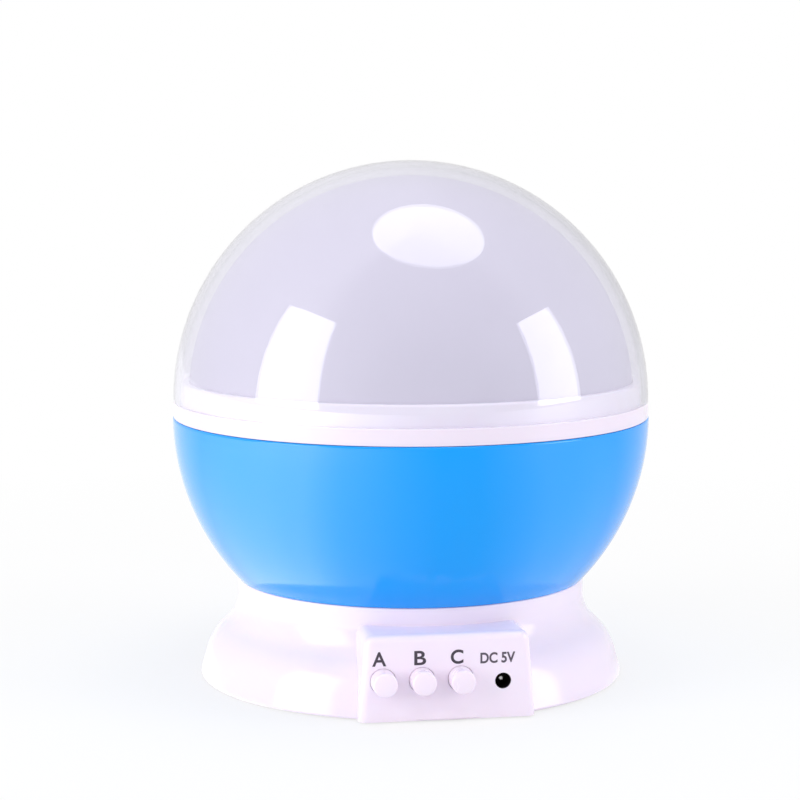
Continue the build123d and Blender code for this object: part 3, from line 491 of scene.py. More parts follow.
@dataclass(frozen=True)
class CircuitBoard(Finish):
    """Solder mask over copper tracks, with tinned pads in rows."""

    mask: Rgb
    track: Rgb
    pad: Rgb
    track_scale: float = 260.0
    lane: float = 0.12
    lane_edge: tuple[float, float] = (0.05, 0.07)
    pad_scale: float = 400.0
    pad_edge: tuple[float, float] = (0.16, 0.2)
    track_height: float = 0.00005
    gloss: tuple[float, float] = (0.3, 0.45)

    def shader(self, recipe: Recipe) -> Socket:
        """Mix the board's shader.

        Args:
            recipe: The recipe to mix it in.

        Returns:
            The shader's socket.
        """
        areas = recipe.add("TexVoronoi", Vector=recipe.place(), Scale=self.track_scale)
        areas.distance = "CHEBYCHEV"
        lanes = recipe.math("PINGPONG", areas.outputs["Distance"], self.lane)
        tracks = recipe.blend(recipe.spread(lanes, 0, 1, *self.lane_edge), self.mask, self.track)
        dots = recipe.add("TexVoronoi", Vector=recipe.place(), Scale=self.pad_scale, Randomness=0.0)
        pads = recipe.spread(dots.outputs["Distance"], 1, 0, *self.pad_edge)
        surface = recipe.add("BsdfPrincipled", Base_Color=recipe.blend(pads, tracks, self.pad), IOR=1.5,
                             Roughness=recipe.spread(recipe.noise(0.002), *self.gloss))
        return recipe.relief(surface, (lanes, self.track_height))


@dataclass(frozen=True)
class CellWrap(Finish):
    """A dry cell's printed sleeve: a plain coloured band round a bare metal can."""

    sleeve: Rgb
    metal: Rgb
    sleeve_end: float
    sleeve_edge: float = 0.0001
    gloss: tuple[float, float] = (0.22, 0.34)

    def shader(self, recipe: Recipe) -> Socket:
        """Mix the wrap's shader.

        Args:
            recipe: The recipe to mix it in.

        Returns:
            The shader's socket.
        """
        reach = recipe.math("ABSOLUTE", recipe.along(recipe.place(), "X"))
        bare = recipe.spread(reach, 0, 1, self.sleeve_end - self.sleeve_edge, self.sleeve_end)
        surface = recipe.add("BsdfPrincipled", Metallic=bare,
                             Base_Color=recipe.blend(bare, self.sleeve, self.metal),
                             Roughness=recipe.spread(recipe.noise(0.002), *self.gloss))
        return surface.outputs[0]


SHELL_WHITE = MouldedPlastic("shell_white", shade(249, 236, 251), glow=0.05)
CAP_WHITE = MouldedPlastic("cap_white", shade(250, 236, 251), gloss=(0.2, 0.3), glow=0.05)
# The ring is painted a brighter tone above 70 mm, where it sits under the clear dome: painted light.
RING_WHITE = MouldedPlastic("ring_white", shade(239, 228, 244), gloss=(0.14, 0.22), glow=0.05,
                            painted_light_tone=shade(253, 248, 254), painted_light_z=0.07)
BOWL_BLUE = MouldedPlastic("bowl_blue", shade(8, 160, 252), drift=0.02, gloss=(0.05, 0.09))
MILKY = MouldedPlastic("milky", shade(219, 216, 226), drift=0.01, gloss=(0.5, 0.6), grain=0.000003)
CLEAR = ClearPlastic("clear", (0.985, 0.985, 0.995), (0.2, 0.14, 0.55), 46.0)
MASK_DARK = MouldedPlastic("mask_dark", shade(38, 38, 44), gloss=(0.35, 0.5), grain=0.000004)
NYLON = MouldedPlastic("nylon", shade(240, 238, 228), gloss=(0.35, 0.5), glow=0.1, grain=0.000002)
DARK_PLASTIC = MouldedPlastic("dark_plastic", shade(24, 20, 26), drift=0.15, gloss=(0.28, 0.4))
INK = MouldedPlastic("ink", shade(70, 62, 74), drift=0.12, gloss=(0.45, 0.6))
INK_LIGHT = MouldedPlastic("ink_light", shade(92, 82, 96), drift=0.12, gloss=(0.45, 0.6))
RUBBER = MouldedPlastic("rubber", shade(214, 212, 214), drift=0.08, gloss=(0.6, 0.75), grain=0.00001)
LED_CLEAR = MouldedPlastic("led_clear", shade(238, 240, 244), gloss=(0.06, 0.1), glow=0.4)
STEEL = PlainMetal("steel", (0.56, 0.56, 0.58))
NICKEL = PlainMetal("nickel", (0.72, 0.69, 0.64), (0.14, 0.24))
BRIGHT_PIN = PlainMetal("bright_pin", (0.96, 0.95, 0.94), (0.3, 0.45))
BOARD = CircuitBoard("board", (0.02, 0.13, 0.05), (0.03, 0.22, 0.08), (0.55, 0.5, 0.42))
CELLS = CellWrap("cells", shade(52, 92, 150), (0.66, 0.66, 0.68), 0.0212)
WIRE_RED = WireJacket("wire_red", shade(190, 40, 36))
WIRE_WHITE = WireJacket("wire_white", shade(222, 220, 214))
WIRE_BLACK = WireJacket("wire_black", shade(40, 38, 40))


class Workshop:
    """Keeps one material for each finish, and gives pieces and carried-over nodes their finish."""

    def __init__(self, frame: dict) -> None:
        """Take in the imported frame.
        """
        self.nodes: dict[str, bpy.types.Object] = frame["nodes"]
        self.made: dict[Finish, bpy.types.Material] = {}

    def material(self, finish: Finish) -> bpy.types.Material:
        """Return the material of a finish, made on first use."""
        if finish not in self.made:
            self.made[finish] = finish.material()
        return self.made[finish]

    def dress(self, finish: Finish, *nodes: str) -> None:
        """Give carried-over nodes a finish.

        Args:
            finish: The finish.
            *nodes: The nodes' names.
        """
        for node in nodes:
            mesh = self.nodes[node].data
            self.coat(mesh, finish)
            smooth(mesh)

    def coat(self, mesh: bpy.types.Mesh, finish: Finish) -> None:
        """Give a mesh one finish in place of any that it has."""
        mesh.materials.clear()
        mesh.materials.append(self.material(finish))

    def mount(self, piece: Piece, finish: Finish, body: Body, slot: str, *replaced: str) -> None:
        """Finish a new piece and fix it to its body.

        Args:
            piece: The new piece, already in place.
            finish: Its finish.
            body: The body that it rides on.
            slot: The record's material slot; not used.
            *replaced: The nodes that it stands for.
        """
        self.coat(piece.data, finish)
        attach(piece, body.value)
        if replaced:
            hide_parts(*replaced)
        LOG.info("%s on %s, %d faces", piece.name, body.value, len(piece.data.polygons))


# ---------------------------------------------------------------- outlines, in millimetres


class Outline:
    """A pen that draws a half section as straight runs and arcs, in (radius, height)."""

    def __init__(self, start: Point, heading: float = 0.0, step: float = 4.0) -> None:
        """Set the pen down.

        Args:
            start: The first point.
            heading: The pen's direction in degrees from the radius axis.
            step: How many degrees of arc lie between points.
        """
        self.points: list[Point] = [start]
        self.heading = heading
        self.step = step

    def go(self, length: float) -> "Outline":
        """Draw a straight run along the heading.

        Args:
            length: The run's length.

        Returns:
            The pen.
        """
        turn = math.radians(self.heading)
        x, z = self.points[-1]
        self.points.append((x + length * math.cos(turn), z + length * math.sin(turn)))
        return self

    def to(self, *points: Point) -> "Outline":
        """Draw straight runs to given points."""
        self.points.extend(points)
        return self

    def bend(self, radius: float, angle: float) -> "Outline":
        """Draw an arc that starts along the heading.

        Args:
            radius: The arc's radius.
            angle: How far it turns in degrees, positive to the left.

        Returns:
            The pen.
        """
        side = 1 if angle > 0 else -1
        x, z = self.points[-1]
        start = math.radians(self.heading)
        centre = (x - side * radius * math.sin(start), z + side * radius * math.cos(start))
        count = max(2, math.ceil(abs(angle) / self.step))
        for index in range(1, count + 1):
            turn = start + math.radians(angle) * index / count
            self.points.append((centre[0] + side * radius * math.sin(turn),
                                centre[1] - side * radius * math.cos(turn)))
        self.heading += angle
        return self


def arc(centre_z: float, radius: float, start_z: float, stop_z: float, count: int) -> list[Point]:
    """Return points on a sphere's half section, even in angle.

    Args:
        centre_z: The height of the sphere's centre.
        radius: The sphere's radius.
        start_z: The height of the first point.
        stop_z: The height of the last point.
        count: How many runs the arc has.

    Returns:
        The points, as (radius, height).
    """
    first = math.asin((start_z - centre_z) / radius)
    last = math.asin(max(-1.0, min(1.0, (stop_z - centre_z) / radius)))
    points = []
    for index in range(count + 1):
        angle = first + (last - first) * index / count
        points.append((max(0.0, radius * math.cos(angle)), centre_z + radius * math.sin(angle)))
    if abs(stop_z - centre_z) > radius - 1e-6:
        points[-1] = (0.0, stop_z)
    return points


def rounded(corners: Sequence[tuple[float, ...]], steps: int = 5) -> list[Point]:
    """Return a closed outline with its corners rounded.

    Args:
        corners: The corners in order, each (x, z) or (x, z, fillet radius).
        steps: How many runs each rounding has.

    Returns:
        The outline's points.
    """
    points: list[Point] = []
    for index, corner in enumerate(corners):
        here = Vector(corner[:2])
        radius = corner[2] if len(corner) > 2 else 0.0
        if radius <= 0:
            points.append((here.x, here.y))
            continue
        before = (Vector(corners[index - 1][:2]) - here).normalized()
        after = (Vector(corners[(index + 1) % len(corners)][:2]) - here).normalized()
        half = before.angle(after) / 2
        reach = radius / math.tan(half)
        centre = here + (before + after).normalized() * (radius / math.sin(half))
        first = here + before * reach - centre
        last = here + after * reach - centre
        sweep = first.angle_signed(last)
        for part in range(steps + 1):
            turn = -sweep * part / steps
            spoke = Matrix.Rotation(turn, 2) @ first
            points.append((centre.x + spoke.x, centre.y + spoke.y))
    return points


# ---------------------------------------------------------------- meshes


def added(name: str, data: bpy.types.ID) -> Piece:
    """Put a mesh, lamp, camera or word into the scene.

    Args:
        name: The object's name.
        data: What it shows.

    Returns:
        The new object.
    """
    piece = bpy.data.objects.new(name, data)
    bpy.context.scene.collection.objects.link(piece)
    return piece


def smooth(mesh: bpy.types.Mesh, angle: float = 32.0) -> None:
    """Shade a mesh smooth, and keep its sharp edges.

    Args:
        mesh: The mesh.
        angle: The turn in degrees from which an edge is sharp.
    """
    mesh.polygons.foreach_set("use_smooth", [True] * len(mesh.polygons))
    mesh.set_sharp_from_angle(angle=math.radians(angle))
    mesh.update()


def solid(name: str, points: Iterable[Sequence[float]], faces: Iterable[Sequence[int]]) -> Piece:
    """Make a closed mesh piece from points in millimetres.

    Args:
        name: The piece's name.
        points: Its corners in millimetres.
        faces: Its faces, as corner numbers.

    Returns:
        The new object, with its faces turned outwards.
    """
    mesh = bpy.data.meshes.new(name)
    mesh.from_pydata([tuple(value * MM for value in point) for point in points], [], list(faces))
    work = bmesh.new()
    work.from_mesh(mesh)
    bmesh.ops.recalc_face_normals(work, faces=work.faces)
    work.to_mesh(mesh)
    work.free()
    smooth(mesh)
    return added(name, mesh)


def lathe(name: str, outline: Sequence[Point], steps: int, frame: Matrix | None = None) -> Piece:
    """Turn a closed half section about an axis.

    Args:
        name: The piece's name.
        outline: The section's points as (radius, height), in order round it.
        steps: How many faces go round.
        frame: Where it stands in millimetres, or None for the ball's own axis.

    Returns:
        The new piece.
    """
    points: list[tuple[float, float, float]] = []
    rings: list[list[int]] = []
    for radius, height in outline:
        ring = range(1 if radius < 1e-6 else steps)
        rings.append([len(points) + index for index in ring])
        for index in ring:
            turn = 2 * math.pi * index / steps
            points.append((radius * math.cos(turn), radius * math.sin(turn), height))
    faces: list[tuple[int, ...]] = []
    for lower, upper in zip(rings, rings[1:] + rings[:1]):
        if len(lower) == 1 and len(upper) == 1:
            continue
        for index in range(steps):
            after = (index + 1) % steps
            corners = [lower[index % len(lower)], lower[after % len(lower)],
                       upper[after % len(upper)], upper[index % len(upper)]]
            faces.append(tuple(dict.fromkeys(corners)))
    return solid(name, [frame @ Vector(point) for point in points] if frame else points, faces)


def prism(name: str, outline: Sequence[Point], low: float, high: float, frame: Matrix) -> Piece:
    """Raise a flat outline into a prism.

    Args:
        name: The piece's name.
        outline: The outline's points in the frame's XY plane.
        low: The height of the near end, in millimetres.
        high: The height of the far end.
        frame: Where the outline stands, in millimetres.

    Returns:
        The new piece.
    """
    count = len(outline)
    points = [frame @ Vector((x, y, end)) for end in (low, high) for x, y in outline]
    faces: list[tuple[int, ...]] = [tuple(range(count)), tuple(range(count, 2 * count))]
    for index in range(count):
        after = (index + 1) % count
        faces.append((index, after, count + after, count + index))
    return solid(name, points, faces)


def circle(radius: float, steps: int = 32) -> list[Point]:
    """Return points round a circle."""
    turns = [2 * math.pi * index / steps for index in range(steps)]
    return [(radius * math.cos(turn), radius * math.sin(turn)) for turn in turns]


def upright(x: float, y: float) -> Matrix:
    """Return a frame at (x, y) whose height axis is Z."""
    return Matrix.Translation((x, y, 0))


def facing_front(x: float, z: float) -> Matrix:
    """Return a frame at (x, 0, z) whose height axis points to the front, -Y."""
    return Matrix.Translation((x, 0, z)) @ Matrix.Rotation(math.radians(90), 4, "X")


def peg(x: float, y: float, radius: float, low: float, high: float, steps: int = 32) -> Piece:
    """Make an upright cylinder between two heights."""
    return prism("peg", circle(radius, steps), low, high, upright(x, y))


def front_peg(x: float, z: float, radius: float, front: float, back: float, steps: int) -> Piece:
    """Make a cylinder along Y between two depths."""
    return prism("peg", circle(radius, steps), -back, -front, facing_front(x, z))


def block(low: Sequence[float], high: Sequence[float]) -> Piece:
    """Make a box between two corners."""
    corners = [(low[0], low[1]), (high[0], low[1]), (high[0], high[1]), (low[0], high[1])]
    return prism("block", corners, low[2], high[2], Matrix.Identity(4))


def together(pieces: Sequence[Piece]) -> Piece:
    """Put the meshes of several separate pieces into the first, and drop the others.

    Args:
        pieces: The pieces.

    Returns:
        The first piece.
    """
    work = bmesh.new()
    for piece in pieces:
        work.from_mesh(piece.data)
    work.to_mesh(pieces[0].data)
    work.free()
    for piece in pieces[1:]:
        bpy.data.objects.remove(piece)
    return pieces[0]


def carve(target: Piece, cut: Cut, tool: Piece) -> None:
    """Join a solid to a piece, or remove it from the piece, for good.

    Args:
        target: The piece to change.
        cut: Whether to join or remove.
        tool: The other solid, used up by this.
    """
    modifier = target.modifiers.new("carve", "BOOLEAN")
    modifier.operation = cut.value
    modifier.solver = "EXACT"
    modifier.object = tool
    graph = bpy.context.evaluated_depsgraph_get()
    graph.update()
    result = bpy.data.meshes.new_from_object(target.evaluated_get(graph))
    target.modifiers.clear()
    old = target.data
    target.data = result
    bpy.data.meshes.remove(old)
    bpy.data.objects.remove(tool)
    work = bmesh.new()
    work.from_mesh(result)
    bmesh.ops.remove_doubles(work, verts=work.verts, dist=WELD)
    bmesh.ops.dissolve_degenerate(work, edges=work.edges, dist=SLIVER)
    work.to_mesh(result)
    work.free()
    smooth(result)


def weight(piece: Piece) -> None:
    """Let large faces lead the shading of a carved piece, so that flats stay flat."""
    piece.modifiers.new("weighted", "WEIGHTED_NORMAL").keep_sharp = True


# ---------------------------------------------------------------- cover


@dataclass
class Cover:
    """The lift-off cover: a clear dome over a milky one, both standing in a white ring."""

    shop: Workshop
    clear_radius: float = 59.8
    clear_z: float = 70.0
    clear_wall: float = 1.6
    milky_radius: float = 56.0
    milky_z: float = 70.0
    milky_wall: float = 1.2
    seat_z: float = 72.0
    seat_radius: float = 52.0
    seat_thick: float = 1.4
    ring_low_z: float = 66.0
    ring_top_z: float = 75.3
    lip_radius: float = 57.8
    skirt_radius: float = 57.5
    skirt_wall: float = 1.4
    skirt_z: float = 62.2
    foot: float = 0.12
    play: float = 0.1
    hug_play: float = 0.05
    hug_depth: float = 1.0
    crisp: float = 0.1
    edge: float = 0.2
    flare_edge: float = 0.3
    skirt_edge: float = 0.4
    lip_edge: float = 0.7
    rings: int = 72
    sides: int = 224

    def dome(self, name: str, centre_z: float, radius: float, wall: float, low_z: float) -> Piece:
        """Make a thin dome with a narrow foot that sits down into the ring.

        Args:
            name: The piece's name.
            centre_z: The height of its centre.
            radius: Its outer radius.
            wall: Its thickness.
            low_z: The height of the seat that it stands on.

        Returns:
            The dome.
        """
        outer = arc(centre_z, radius, low_z, centre_z + radius, self.rings)
        inner = arc(centre_z, radius - wall, low_z, centre_z + radius - wall, self.rings)
        rim = [(inner[0][0] + self.foot, low_z - self.foot), (outer[0][0] - self.foot, low_z - self.foot)]
        return lathe(name, outer + inner[::-1] + rim, self.sides)

    def ring(self) -> Piece:
        """Make the white ring, with its band, upstand, seat and plug-in skirt.

        Returns:
            The ring.
        """
        inner = self.skirt_radius - self.skirt_wall
        under = self.seat_z - self.seat_thick
        bore = self.milky_radius + self.play
        hug = math.sqrt(self.milky_radius ** 2 - (self.ring_top_z - self.milky_z) ** 2) - self.hug_play
        outline = rounded([
            (self.skirt_radius, self.skirt_z, self.skirt_edge),
            (self.skirt_radius, self.ring_low_z, self.crisp),
            (self.clear_radius, self.ring_low_z, self.edge),
            (self.clear_radius, self.clear_z),
            (self.lip_radius, self.clear_z, self.crisp),
            (self.lip_radius, self.ring_top_z, self.lip_edge),
            (hug, self.ring_top_z, self.edge),
            (bore, self.ring_top_z - self.hug_depth),
            (bore, self.seat_z),
            (self.seat_radius, self.seat_z, self.edge),
            (self.seat_radius, under, self.edge),
            (inner, under - (inner - self.seat_radius), self.flare_edge),
            (inner, self.skirt_z, self.skirt_edge),
        ])
        return lathe("cover_band", outline, self.sides)

    def build(self) -> None:
        """Make and mount the cover's three pieces."""
        clear = self.dome("clear_shell", self.clear_z, self.clear_radius, self.clear_wall, self.clear_z)
        milky = self.dome("milky_shell", self.milky_z, self.milky_radius, self.milky_wall, self.seat_z)
        self.shop.mount(clear, CLEAR, Body.COVER, "clear_shell", "clear_dome")
        self.shop.mount(milky, MILKY, Body.COVER, "milky_shell", "diffuser_dome")
        self.shop.mount(self.ring(), RING_WHITE, Body.COVER, "shell_white", "cover_ring")


# ---------------------------------------------------------------- turning ball


@dataclass
class Bowl:
    """The blue lower half of the ball, with its hub, ribs and screw bosses inside."""

    shop: Workshop
    radius: float = 60.0
    centre_z: float = 66.0
    wall: float = 2.0
    bottom_z: float = 25.2
    rim_z: float = 65.9
    rim_roll: float = 0.5
    floor: float = 2.0
    hub_radius: float = 11.0
    hub_z: float = 19.6
    hub_top_z: float = 31.0
    bush_radius: float = 8.5
    rib_count: int = 6
    rib_half: float = 0.8
    rib_top_z: float = 30.0
    rib_start: float = 10.0
    rib_end: float = 44.0
    boss_ring: float = 53.5
    boss_radius: float = 3.0
    boss_z: float = 50.0
    boss_top_z: float = 60.0
    pilot_radius: float = 0.8
    pilot_depth: float = 6.0
    edge: float = 0.15
    roll_steps: int = 5
    outer_rings: int = 72
    inner_rings: int = 60
    sides: int = 224

    def shell(self) -> Piece:
        """Turn the shell, with a rounded rim and a softened foot edge.

        Returns:
            The shell.
        """
        soft, roll = self.edge, self.rim_roll
        floor_z = self.bottom_z + self.floor
        outer = arc(self.centre_z, self.radius, self.rim_z - roll, self.bottom_z + soft, self.outer_rings)
        inner = arc(self.centre_z, self.radius - self.wall, floor_z, self.rim_z - soft, self.inner_rings)
        rim = [(inner[-1][0] + soft * 0.3, self.rim_z - soft * 0.3), (inner[-1][0] + soft, self.rim_z)]
        for step in range(self.roll_steps):
            turn = math.pi / 2 * (1 - step / self.roll_steps)
            rim.append((outer[0][0] - roll * (1 - math.cos(turn)),
                        self.rim_z - roll * (1 - math.sin(turn))))
        foot = [(outer[-1][0] - soft * 0.6, self.bottom_z + soft * 0.25),
                (outer[-1][0] - soft * 1.4, self.bottom_z), (0.0, self.bottom_z), (0.0, floor_z)]
        return lathe("bowl_shell", outer + foot + inner + rim, self.sides)

    def boss_places(self) -> list[Point]:
        """Return where the mask carrier's screw bosses stand."""
        turns = [math.radians(45 + 90 * index) for index in range(4)]
        return [(self.boss_ring * math.cos(turn), self.boss_ring * math.sin(turn)) for turn in turns]

    def build(self) -> None:
        """Make and mount the bowl."""
        shell = self.shell()
        floor_z = self.bottom_z + self.floor
        ribs = []
        for index in range(self.rib_count):
            turn = Matrix.Rotation(2 * math.pi * (index + 0.5) / self.rib_count, 4, "Z")
            corners = [(self.rib_start, -self.rib_half), (self.rib_end, -self.rib_half),
                       (self.rib_end, self.rib_half), (self.rib_start, self.rib_half)]
            ribs.append(prism("rib", corners, floor_z - SUNK, self.rib_top_z, turn))
        carve(shell, Cut.JOIN, together(ribs))
        carve(shell, Cut.JOIN, peg(0, 0, self.hub_radius, self.hub_z, self.hub_top_z, 96))
        top = self.boss_top_z
        bosses = [peg(x, y, self.boss_radius, self.boss_z, top) for x, y in self.boss_places()]
        carve(shell, Cut.JOIN, together(bosses))
        bores = [peg(0, 0, self.bush_radius, self.hub_z - PAST, self.hub_top_z + PAST, 96)]
        bores += [peg(x, y, self.pilot_radius, top - self.pilot_depth, top + PAST, 20)
                  for x, y in self.boss_places()]
        carve(shell, Cut.REMOVE, together(bores))
        weight(shell)
        self.shop.mount(shell, BOWL_BLUE, Body.ROTOR, "bowl_blue", "bowl")


@dataclass
class StarMask:
    """The dark dome that the stars, dots and moon are cut through."""

    shop: Workshop
    radius: float = 46.0
    centre_z: float = 66.0
    wall: float = 1.6
    foot_z: float = 61.6
    flange_radius: float = 51.0
    flange: float = 1.4
    screw_ring: float = 48.6
    pilot_radius: float = 0.8
    rows: int = 5
    row_step: float = 15.0
    first_row: float = 10.0
    star_radius: float = 3.4
    small_star_radius: float = 2.6
    point_ratio: float = 0.42
    dot_radius: float = 0.8
    dot_rise: float = 6.0
    moon_radius: float = 4.6
    moon_hollow: float = 0.85
    moon_shift: Point = (0.41, 0.13)
    moon_place: Point = (-90.0, 88.0)
    widest_row: int = 13
    depth: float = 3.0
    rings: int = 56
    sides: int = 160

    def star(self, radius: float) -> list[Point]:
        """Lay out a five-pointed star.

        Args:
            radius: How far its points reach.

        Returns:
            Its corners.
        """
        corners = []
        for corner in range(10):
            reach = radius if corner % 2 == 0 else radius * self.point_ratio
            turn = math.radians(90 + 36 * corner)
            corners.append((reach * math.cos(turn), reach * math.sin(turn)))
        return corners

    def moon(self) -> list[Point]:
        """Lay out a crescent: round a circle's far side, and back along its hollow.

        Returns:
            Its outline.
        """
        shift = Vector(self.moon_shift) * self.moon_radius
        hollow = self.moon_radius * self.moon_hollow
        turns = (Vector(point) for point in circle(1.0, 96))
        start = math.atan2(shift.y, shift.x)
        spokes = sorted(turns, key=lambda spoke: (math.atan2(spoke.y, spoke.x) - start) % (2 * math.pi))
        outer = [spoke * self.moon_radius for spoke in spokes]
        inner = [shift + spoke * hollow for spoke in reversed(spokes)]
        outside = [(point.x, point.y) for point in outer if (point - shift).length > hollow]
        return outside + [(point.x, point.y) for point in inner if point.length < self.moon_radius]

    def touching(self, azimuth: float, elevation: float) -> Matrix:
        """Return a frame on the dome, its height axis pointing outwards.

        Args:
            azimuth: The frame's direction round the dome in degrees.
            elevation: Its height above the dome's rim in degrees.

        Returns:
            The frame, in millimetres.
        """
        turn, rise = math.radians(azimuth), math.radians(elevation)
        out = Vector((math.cos(rise) * math.cos(turn), math.cos(rise) * math.sin(turn), math.sin(rise)))
        side = Vector((-math.sin(turn), math.cos(turn), 0))
        axes = Matrix((side, out.cross(side), out)).transposed().to_4x4()
        return Matrix.Translation(Vector((0, 0, self.centre_z)) + out * self.radius) @ axes

    def openings(self) -> Piece:
        """Make the shape of every star, dot and screw hole, and of the moon.

        Returns:
            The cutter.
        """
        shapes: list[tuple[str, list[Point], Matrix]] = []
        for row in range(self.rows):
            rise = self.first_row + self.row_step * row
            count = round(self.widest_row * math.cos(math.radians(rise)))
            size = self.star_radius if row % 2 == 0 else self.small_star_radius
            for index in range(count):
                turn = 360 / count * (index + 0.5 * (row % 2))
                shapes.append(("star", self.star(size), self.touching(turn, rise)))
                place = self.touching(turn + 180 / count, rise + self.dot_rise)
                shapes.append(("dot", circle(self.dot_radius, 16), place))
        shapes.append(("moon", self.moon(), self.touching(*self.moon_place)))
        cutters = [prism(name, outline, -self.depth, self.depth, place) for name, outline, place in shapes]
        low, high = self.foot_z - PAST, self.foot_z + self.flange + PAST
        cutters += [peg(x, y, self.pilot_radius, low, high, 20) for x, y in circle(self.screw_ring, 4)]
        return together(cutters)

    def build(self) -> None:
        """Make and mount the star mask."""
        inner_radius = self.radius - self.wall
        top = self.foot_z + self.flange
        outer, inner = (arc(self.centre_z, radius, self.centre_z, self.centre_z + radius, self.rings)
                        for radius in (self.radius, inner_radius))
        foot = [(inner_radius, self.foot_z), (self.flange_radius, self.foot_z),
                (self.flange_radius, top), (self.radius, top)]
        dome = lathe("star_shade", outer + inner[::-1] + foot, self.sides)
        carve(dome, Cut.REMOVE, self.openings())
        weight(dome)
        self.shop.mount(dome, MASK_DARK, Body.ROTOR, "mask_dark", "star_mask")


# ---------------------------------------------------------------- base


@dataclass
class PanelPlaces:
    """Where the control panel, its buttons and its inlet stand."""

    shop: Workshop
    panel_y: float = -52.75
    button_x: tuple[float, ...] = (-15.4, -6.2, 3.0)
    button_z: float = 10.1
    jack_x: float = 13.1
    jack_z: float = 9.2


@dataclass
class BaseHousing(PanelPlaces):
    """The white bell with the control box on its front, the deck under the ball and the bearing stub."""

    base_radius: float = 53.4
    bottom_z: float = 0.4
    wall: float = 2.0
    edge: float = 0.5
    flank_tilt: float = 15.2
    flank_length: float = 4.9
    waist_tilt: float = 50.0
    shoulder: float = 14.3
    neck_sweep: float = 10.3
    neck_top_z: float = 25.08
    neck_edge: float = 0.3
    deck_z: float = 15.8
    deck_top_z: float = 17.5
    panel_wall: float = 2.0
    panel_back_y: float = -37.0
    panel_top_z: float = 20.8
    half_bottom: float = 21.0
    half_top: float = 19.5
    corner: float = 2.4
    panel_edge: float = 1.8
    box_wall: float = 1.2
    box_lift: float = 0.02
    button_hole: float = 3.1
    jack_hole: float = 2.1
    jack_lip: float = 1.92
    jack_lip_depth: float = 0.25
    stub_radius: float = 6.5
    stub_top_z: float = 34.0
    mast_radius: float = 4.5
    groove_radius: float = 6.0
    groove_z: float = 32.0
    groove_top_z: float = 32.8
    idler: Point = (11.856, 24.813)
    idler_boss: float = 2.6
    idler_boss_top_z: float = 18.2
    axle: float = 1.0
    motor_y: float = 34.0
    shaft_hole: float = 1.95
    strap_column: Point = (10.5, 2.4)
    strap_column_z: float = 10.0
    plate_column: tuple[float, float, float] = (37.5, 15.0, 3.2)
    plate_column_z: float = 2.4
    plate_pilot: float = 1.1
    plate_pilot_top_z: float = 9.1
    small_pilot: float = 0.8
    small_pilot_depth: float = 5.0
    board_bosses: tuple[Point, ...] = ((-10.8, 5.4), (7.85, 12.4))
    board_boss: float = 1.8
    board_y: float = -44.0
    edge_steps: int = 8
    sides: int = 200

    def bell(self, name: str, inset: float) -> Piece:
        """Make the bell, whole or as the shape of its hollow.

        Args:
            name: The piece's name.
            inset: How far the side stands inside the outer skin.

        Returns:
            The solid bell.
        """
        pen = Outline((0.0, self.bottom_z))
        if inset == 0:
            pen.to((self.base_radius - self.edge, self.bottom_z))
            pen.bend(self.edge, 90 + self.flank_tilt)
        else:
            tilt = math.radians(self.flank_tilt)
            start_r = self.base_radius - self.edge * (1 - math.cos(tilt)) - inset * math.cos(tilt)
            start_z = self.bottom_z + self.edge * (1 + math.sin(tilt)) - inset * math.sin(tilt)
            pen.points[0] = (0.0, self.bottom_z - PAST)
            pen.to((start_r, self.bottom_z - PAST), (start_r, start_z))
            pen.heading = 90 + self.flank_tilt
        pen.go(self.flank_length)
        pen.bend(self.shoulder - inset, self.waist_tilt - self.flank_tilt)
        pen.bend(self.neck_sweep + inset, -self.waist_tilt)
        neck = pen.points[-1][0]
        if inset == 0:
            pen.to((neck, self.neck_top_z - self.neck_edge))
            pen.bend(self.neck_edge, 90)
            pen.to((0.0, self.neck_top_z))
        else:
            pen.to((neck, self.neck_top_z + PAST), (0.0, self.neck_top_z + PAST))
        return lathe(name, pen.points, self.sides)

    def front(self, inset: float, top_inset: float, corner: float) -> list[Point]:
        """Return the control box's front outline.

        Args:
            inset: How far its sides stand in.
            top_inset: How far its top stands in.
            corner: The radius of its two upper corners.

        Returns:
            The outline as (x, z) points.
        """
        top = self.panel_top_z - top_inset
        low = self.bottom_z + self.box_lift
        half_low, half_high = self.half_bottom - inset, self.half_top - inset
        return rounded([(-half_low, low), (half_low, low), (half_high, top, corner),
                        (-half_high, top, corner)], self.edge_steps)

    def box(self) -> Piece:
        """Make the solid control box, with its front edges rounded.

        Returns:
            The box.
        """
        layers = [(self.panel_back_y, 0.0)]
        for index in range(self.edge_steps + 1):
            turn = math.pi / 2 * index / self.edge_steps
            layers.append((self.panel_y + self.panel_edge * (1 - math.sin(turn)),
                           self.panel_edge * (1 - math.cos(turn))))
        points = [(x, depth, z) for depth, inset in layers
                  for x, z in self.front(inset, inset, self.corner - inset)]
        count = len(points) // len(layers)
        faces: list[tuple[int, ...]] = [tuple(range(count)), tuple(range(len(points) - count, len(points)))]
        for first in range(0, len(points) - count, count):
            second = first + count
            for index in range(count):
                after = (index + 1) % count
                faces.append((first + index, first + after, second + after, second + index))
        return solid("box", points, faces)

    def hollow_box(self) -> Piece:
        """Make the shape of the control box's hollow."""
        outline = [(x, z if z > self.deck_z else self.bottom_z - PAST)
                   for x, z in self.front(self.box_wall, self.panel_top_z - self.deck_top_z, 0.0)]
        front = -(self.panel_y + self.panel_wall)
        return prism("hollow", outline, -self.panel_back_y, front, facing_front(0, 0))

    def stub(self) -> Piece:
        """Make the bearing stub, with its clip groove."""
        low, side, groove = self.deck_z + SUNK, self.stub_radius, self.groove_radius
        return lathe("stub", [(0.0, low), (side, low), (side, self.groove_z), (groove, self.groove_z),
                              (groove, self.groove_top_z), (side, self.groove_top_z),
                              (side, self.stub_top_z), (0.0, self.stub_top_z)], 96)

